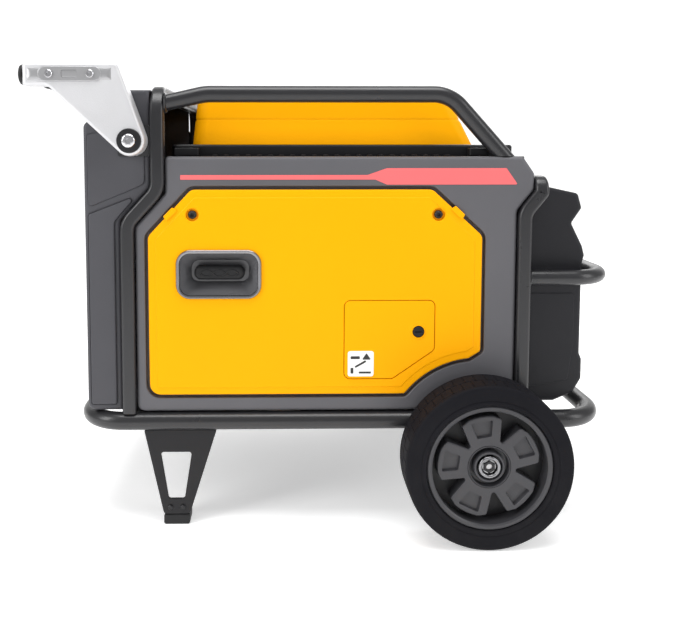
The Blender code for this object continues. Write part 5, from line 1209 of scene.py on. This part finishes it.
def make_panel():
    """Panel plate with raised islands, sockets, a power meter, lamps and plain scale marks."""
    node = "control_panel"
    thick_side = high(node, "X")
    rocker = box_corners(low("eco_switch", "Y") - 0.0012, high("eco_switch", "Y") + 0.0012,
                         low("eco_switch", "Z") - 0.0012, high("eco_switch", "Z") + 0.0012, 0.001)
    button = (middle("breaker_button", "Y"), middle("breaker_button", "Z"))
    plate = prism(box_corners(low(node, "Y"), high(node, "Y"), low(node, "Z"), high(node, "Z"), 0.004),
                  PANEL_FACE, thick_side, axis="X", holes=[rounded(rocker, 4), circle(button, 0.0076, 40)])
    piece("panel_plate", plate, GREY, stands_for=[node])

    def flat(name, corners, proud, look, slot_name, ease=0.0006):
        piece(name, prism(corners, PANEL_FACE - proud, PANEL_FACE - 0.0001, axis="X", ease=ease, steps=6), look,
              slot=slot_name)

    for index, (y, z) in enumerate(((0.085, LOOP_Z + 0.160), (0.128, LOOP_Z + 0.160))):
        ring_shape = [(0.0100, PANEL_FACE - 0.0001), (0.0185, PANEL_FACE - 0.0001), (0.0185, PANEL_FACE - 0.0016),
                      (0.0170, PANEL_FACE - 0.0028), (0.0150, PANEL_FACE - 0.0028), (0.0140, PANEL_FACE - 0.0010)]
        piece("socket_ring_%d" % (index + 1), turned(ring_shape, "X", (y, z), 56, closed=True), BLACK,
              slot="black_moulding")
        for label, offset_y, offset_z in (("a", -0.0055, 0.003), ("b", 0.0055, 0.003), ("c", 0.0, -0.0055)):
            pin = turned([(0.0022, PANEL_FACE - 0.0001), (0.0022, PANEL_FACE - 0.0009), (0.0016, PANEL_FACE - 0.0009),
                          (0.0016, PANEL_FACE - 0.0002)], "X", (y + offset_y, z + offset_z), 24)
            piece("socket_pin_%d_%s" % (index + 1, label), pin, CHROME, slot="chrome_trim")
    flat("meter_frame", box_corners(-0.045, 0.010, LOOP_Z + 0.234, LOOP_Z + 0.262, 0.003), 0.0020, BLACK,
         "black_moulding")
    flat("meter_window", box_corners(-0.041, 0.006, LOOP_Z + 0.238, LOOP_Z + 0.258, 0.002), 0.0024, SCREEN,
         "black_moulding", 0.0003)
    for index in range(3):
        dome = turned([(0.0030, PANEL_FACE - 0.0001), (0.0030, PANEL_FACE - 0.0010), (0.0022, PANEL_FACE - 0.0022),
                       (0.0010, PANEL_FACE - 0.0027)], "X", (0.028 + index * 0.013, LOOP_Z + 0.248), 24)
        piece("panel_lamp_%d" % (index + 1), dome, LAMP if index == 0 else AMBER, slot="black_moulding")
    mark = prism(box_corners(-0.0004, 0.0004, -0.0014, 0.0014, 0.0), PANEL_FACE - 0.0003, PANEL_FACE - 0.0001,
                 axis="X")
    repeated("meter_marks", "row", mark, WHITE, slot="black_moulding", Count=9,
             Start=(0.0, -0.041, LOOP_Z + 0.229), Step=(0.0, 0.0058, 0.0))
    dial = (middle("engine_dial", "Y"), middle("engine_dial", "Z"))
    front = high("engine_dial", "X")
    body = [(0.0200, front), (0.0200, front - 0.0040), (0.0190, front - 0.0052), (0.0140, front - 0.0060),
            (0.0132, front - 0.0165), (0.0120, front - 0.0178)]
    piece("dial_knob", turned(body, "X", dial, 64), BLACK, "engine_dial", stands_for=["engine_dial"])
    pointer = prism(box_corners(dial[0] - 0.0009, dial[0] + 0.0009, dial[1] + 0.002, dial[1] + 0.0115, 0.0006),
                    front - 0.0180, front - 0.0170, axis="X", steps=3)
    piece("dial_pointer", pointer, WHITE, "engine_dial")
    y, z = middle("eco_switch", "Y"), middle("eco_switch", "Z")
    low_x, high_x = low("eco_switch", "X"), high("eco_switch", "X")
    rocker_bm = prism(box_corners(y - 0.008, y + 0.008, z - 0.013, z + 0.013, 0.0015), low_x, high_x, axis="X",
                      ease=0.0012)
    piece("rocker_paddle", rocker_bm, BLACK, "eco_switch", stands_for=["eco_switch"])
    piece("rocker_mark", prism(box_corners(y - 0.0004, y + 0.0004, z + 0.004, z + 0.009, 0.0003), low_x - 0.0002,
                               low_x + 0.0003, axis="X", steps=2), WHITE, "eco_switch")
    mid = high("breaker_button", "X")
    tip = low("breaker_button", "X")
    push = [(0.0070, mid), (0.0070, tip + 0.0016), (0.0062, tip + 0.0004), (0.0050, tip)]
    piece("breaker_push_button", turned(push, "X", button, 40), RED, "breaker_button", stands_for=["breaker_button"],
          slot="black_moulding")
    (lid_front, lid_back), lid_y, lid_z = [(low("socket_lid", axis), high("socket_lid", axis)) for axis in "XYZ"]
    lid = prism(box_corners(*lid_y, *lid_z, 0.006), lid_front, lid_back, axis="X", ease=0.0016, curve=4)
    piece("outlet_flap", lid, BLACK, "socket_lid", stands_for=["socket_lid"])
    centre = (sum(lid_y) / 2, sum(lid_z) / 2)
    crest = turned([(0.0210, lid_front + 0.0004), (0.0200, lid_front - 0.0006), (0.0160, lid_front - 0.0006),
                    (0.0150, lid_front + 0.0004)], "X", centre, 56, closed=True)
    piece("outlet_flap_ring", crest, BLACK, "socket_lid", slot="black_moulding")


# ---------------------------------------------------------------- tow handle
def make_arm(side_name, side):
    """Cast arm with rounded edges, a web below the tube boss, and bosses for its bolts."""
    inner, outer = side * (SIDE_Y + 0.004), side * (SIDE_Y + 0.038)
    knee, top = BAR_Z - 0.017, BAR_Z + 0.017
    plate = [(PIVOT_X - 0.0167, top, 0.007), (PIVOT_X - 0.1565, top, 0.004), (PIVOT_X - 0.1565, knee, 0.004),
             (PIVOT_X - 0.1200, knee, 0.014)]
    plate += [(x, z, 0.0) for x, z in arc((PIVOT_X, PIVOT_Z), 0.023, 222.0, 382.0, 24)]
    body = Body("Y")
    front = body.eased(plate, outer, -side, 0.0055, curve=5)
    back = body.eased(plate, inner, side, 0.0030, curve=3)
    body.wall(front[-1], back[-1])
    eye = body.hole(circle((PIVOT_X, PIVOT_Z), 0.0063, 40), outer, inner)
    socket = body.hole(circle((BAR_X, BAR_Z), 0.0129, 48), inner, inner + side * 0.012)
    body.end(socket[1])
    body.end(front[0], eye[0])
    body.end(back[0], eye[1], socket[0])
    piece("arm_casting_" + side_name, body.bm, CAST, "tow_handle", stands_for=["arm_" + side_name])
    band = box_corners(PIVOT_X - 0.1562, PIVOT_X - 0.0172, knee + 0.0006, top - 0.0006, 0.0050)
    body = Body("Y")
    crown = body.eased(band, outer + side * 0.0016, -side, 0.0140, curve=9)
    root = body.ring(rounded(band), outer - side * 0.0150)
    body.wall(crown[-1], root)
    body.end(crown[0])
    body.end(root)
    # The tube band uses the darker copy of the cast finish: painted shade on the round top of the arm
    piece("arm_tube_" + side_name, body.bm, SHADED_CAST, "tow_handle", slot="cast_aluminium")
    boss = box_corners(PIVOT_X - 0.1325, PIVOT_X - 0.0390, BAR_Z - 0.0110, BAR_Z + 0.0110, 0.0108)
    body = Body("Y")
    raised = body.eased(boss, outer + side * 0.0024, -side, 0.0014, curve=3, steps=12)
    base = body.ring(rounded(boss, 12), outer - side * 0.0004)
    body.wall(raised[-1], base)
    hollow = box_corners(PIVOT_X - 0.0980, PIVOT_X - 0.0740, BAR_Z - 0.0058, BAR_Z + 0.0058, 0.0030)
    body.end(raised[0], body.dent(hollow, outer + side * 0.0024, -side, 0.0012, steps=6))
    body.end(base)
    # The boss uses the darker copy of the cast finish: painted shade on the round top of the arm
    piece("arm_boss_" + side_name, body.bm, SHADED_CAST, "tow_handle", slot="cast_aluminium")
    for label, x in (("outer", PIVOT_X - 0.1160), ("inner", PIVOT_X - 0.0555)):
        head = Body("Y")
        face = outer + side * 0.0050
        rings = [head.ring(circle((x, BAR_Z), radius, 36), face - side * depth)
                 for radius, depth in ((0.0050, 0.0), (0.0057, 0.0006), (0.0057, 0.0032))]
        recess = head.hole(circle((x, BAR_Z), 0.0028, 6), face, face - side * 0.0018)
        head.wall(*rings)
        head.end(rings[0], recess[0])
        head.end(recess[1])
        head.end(rings[-1])
        piece("arm_bolt_%s_%s" % (label, side_name), head.bm, CHROME, "tow_handle", slot="chrome_trim")
    x_right, y = PIVOT_X - 0.1565 - GAP, (inner + outer) / 2
    cap = [(0.0148, x_right), (0.0150, x_right - 0.0010), (0.0150, x_right - 0.0035), (0.0142, x_right - 0.0052),
           (0.0125, x_right - 0.0060)]
    piece("arm_end_cap_" + side_name, turned(cap, "X", (y, BAR_Z), 56), RUBBER, "tow_handle",
          stands_for=["arm_cap_" + side_name])


def make_pivot(side_name, side):
    """Washer, dome and socket bolt at the eye, on the lug that is welded to the hoop."""
    face = side * (SIDE_Y + 0.0384)
    node = "pivot_bolt_" + side_name
    shank = side * (SIDE_Y - 0.0016)
    shape = [(0.0060, shank), (0.0060, face), (0.0184, face), (0.0184, face + side * 0.0014),
             (0.0176, face + side * 0.0022), (0.0112, face + side * 0.0026)]
    piece("pivot_washer_" + side_name, turned(shape, "Y", (PIVOT_X, PIVOT_Z), 64), DARK_STEEL, stands_for=[node],
          slot="plain_steel")
    head = Body("Y")
    top = face + side * 0.0082
    rings = [head.ring(circle((PIVOT_X, PIVOT_Z), radius, 48), top - side * depth)
             for radius, depth in ((0.0078, 0.0), (0.0098, 0.0012), (0.0105, 0.0030), (0.0105, 0.0060))]
    recess = head.hole(circle((PIVOT_X, PIVOT_Z), 0.0042, 6), top, top - side * 0.0030)
    head.wall(*rings)
    head.end(rings[0], recess[0])
    head.end(recess[1])
    head.end(rings[-1])
    piece("pivot_bolt_head_" + side_name, head.bm, CHROME, slot="plain_steel")


def make_handle_bar():
    """Cross-bar with a ribbed soft grip."""
    end = SIDE_Y + 0.0155
    piece("cross_tube", turned([(0.0118, -end), (0.0125, -end + 0.0008), (0.0125, end - 0.0008), (0.0118, end)], "Y",
                               (BAR_X, BAR_Z), 64), STEEL, "tow_handle", stands_for=["handle_crossbar"])
    half = SIDE_Y - 0.035
    grip = [(0.0129, -half), (0.0158, -half), (0.0170, -half + 0.0030), (0.0166, -half + 0.0200),
            (0.0166, half - 0.0200), (0.0170, half - 0.0030), (0.0158, half), (0.0129, half)]
    piece("cross_tube_grip", turned(grip, "Y", (BAR_X, BAR_Z), 64, closed=True), RUBBER, "tow_handle",
          stands_for=["handle_grip"])
    rib = turned([(0.0164, -0.0016), (0.0172, -0.0008), (0.0172, 0.0008), (0.0164, 0.0016)], "Y", (0.0, 0.0), 40,
                 closed=True)
    repeated("cross_tube_grip_ribs", "row", rib, RUBBER, "tow_handle", slot="soft_rubber", Count=47,
             Start=(BAR_X, -0.207, BAR_Z), Step=(0.0, 0.0090, 0.0))


make_deck()
make_tank_cover()
make_fuel_cap()
make_left_cover()
make_right_cover()
make_panel()
make_handle_bar()
for side_name, side in SIDES.items():
    make_arm(side_name, side)
    make_pivot(side_name, side)


# ---------------------------------------------------------------- carried-over frame nodes
CARRIED = {"floor_pan": COAT, "axle": STEEL, "axle_bracket_near": COAT, "axle_bracket_far": COAT,
           "pivot_lug_near": COAT, "pivot_lug_far": COAT, "engine_block": CAST, "stator": COPPER, "rotor": STEEL,
           "recoil_reel": BLACK, "muffler": STEEL, "inverter_module": CAST, "battery": BLACK, "fuel_tank": BLACK,
           "starter_rope": RUBBER}
for name, look in CARRIED.items():
    node = frame["nodes"][name]
    if not node.material_slots:
        node.data.materials.append(look)
    for place in node.material_slots:
        place.material = look


# ---------------------------------------------------------------- floor, light and camera
def make_floor():
    """Seamless white floor that curves up into a backdrop."""
    ground, bend_start, bend = -0.0005, 3.0, 2.0
    profile = [(-6.0, ground), (bend_start, ground), *arc((bend_start, ground + bend), bend, -80.0, 0.0, 8),
               (bend_start + bend, 6.0)]
    bm = bmesh.new()
    rows = [[bm.verts.new((x, y, z)) for x in (-8.0, 8.0)] for y, z in profile]
    for first, second in zip(rows, rows[1:]):
        bm.faces.new((first[0], first[1], second[1], second[0]))
    mesh = bpy.data.meshes.new("studio_floor")
    bm.to_mesh(mesh)
    bm.free()
    mesh.shade_smooth()
    mesh.materials.append(PAPER)
    made = bpy.data.objects.new("studio_floor", mesh)
    bpy.context.scene.collection.objects.link(made)


def area_light(name, place, aim, size, power):
    """A large soft light that points at a place."""
    lamp = bpy.data.lights.new(name, "AREA")
    lamp.shape = "RECTANGLE"
    lamp.size, lamp.size_y = size
    lamp.energy = power
    made = bpy.data.objects.new(name, lamp)
    made.location = place
    made.rotation_euler = (Vector(aim) - Vector(place)).to_track_quat("-Z", "Y").to_euler()
    bpy.context.scene.collection.objects.link(made)


def make_studio():
    """White surroundings with a soft top light, two side lights and a back light."""
    world = bpy.data.worlds.new("studio")
    world.use_nodes = True
    world.node_tree.nodes["Background"].inputs["Color"].default_value = (1.0, 1.0, 1.0, 1.0)
    world.node_tree.nodes["Background"].inputs["Strength"].default_value = 0.46
    bpy.context.scene.world = world
    aim = (0.0, 0.0, 0.35)
    area_light("top_light", (0.0, -0.6, 2.6), aim, (2.2, 1.2), 52.0)
    area_light("left_light", (-2.4, -1.6, 1.5), aim, (1.0, 1.8), 38.0)
    area_light("right_light", (2.4, -1.6, 1.3), aim, (1.0, 1.8), 20.0)
    area_light("back_light", (0.6, 2.4, 1.9), aim, (2.2, 1.2), 20.0)


def make_camera():
    """Camera in front of the starter side, turned a little down and to the right."""
    lens = bpy.data.cameras.new("camera")
    lens.lens = 39.8
    lens.sensor_width = 36.0
    lens.shift_x, lens.shift_y = 0.075, -0.172
    camera = bpy.data.objects.new("camera", lens)
    camera.location = (-0.0772, -1.4278, 0.6056)
    camera.rotation_euler = (math.radians(90.0 - 4.13), 0.0, math.radians(-0.90))
    bpy.context.scene.collection.objects.link(camera)
    bpy.context.scene.camera = camera
    bpy.context.scene.view_settings.view_transform = "Standard"


make_floor()
make_studio()
make_camera()
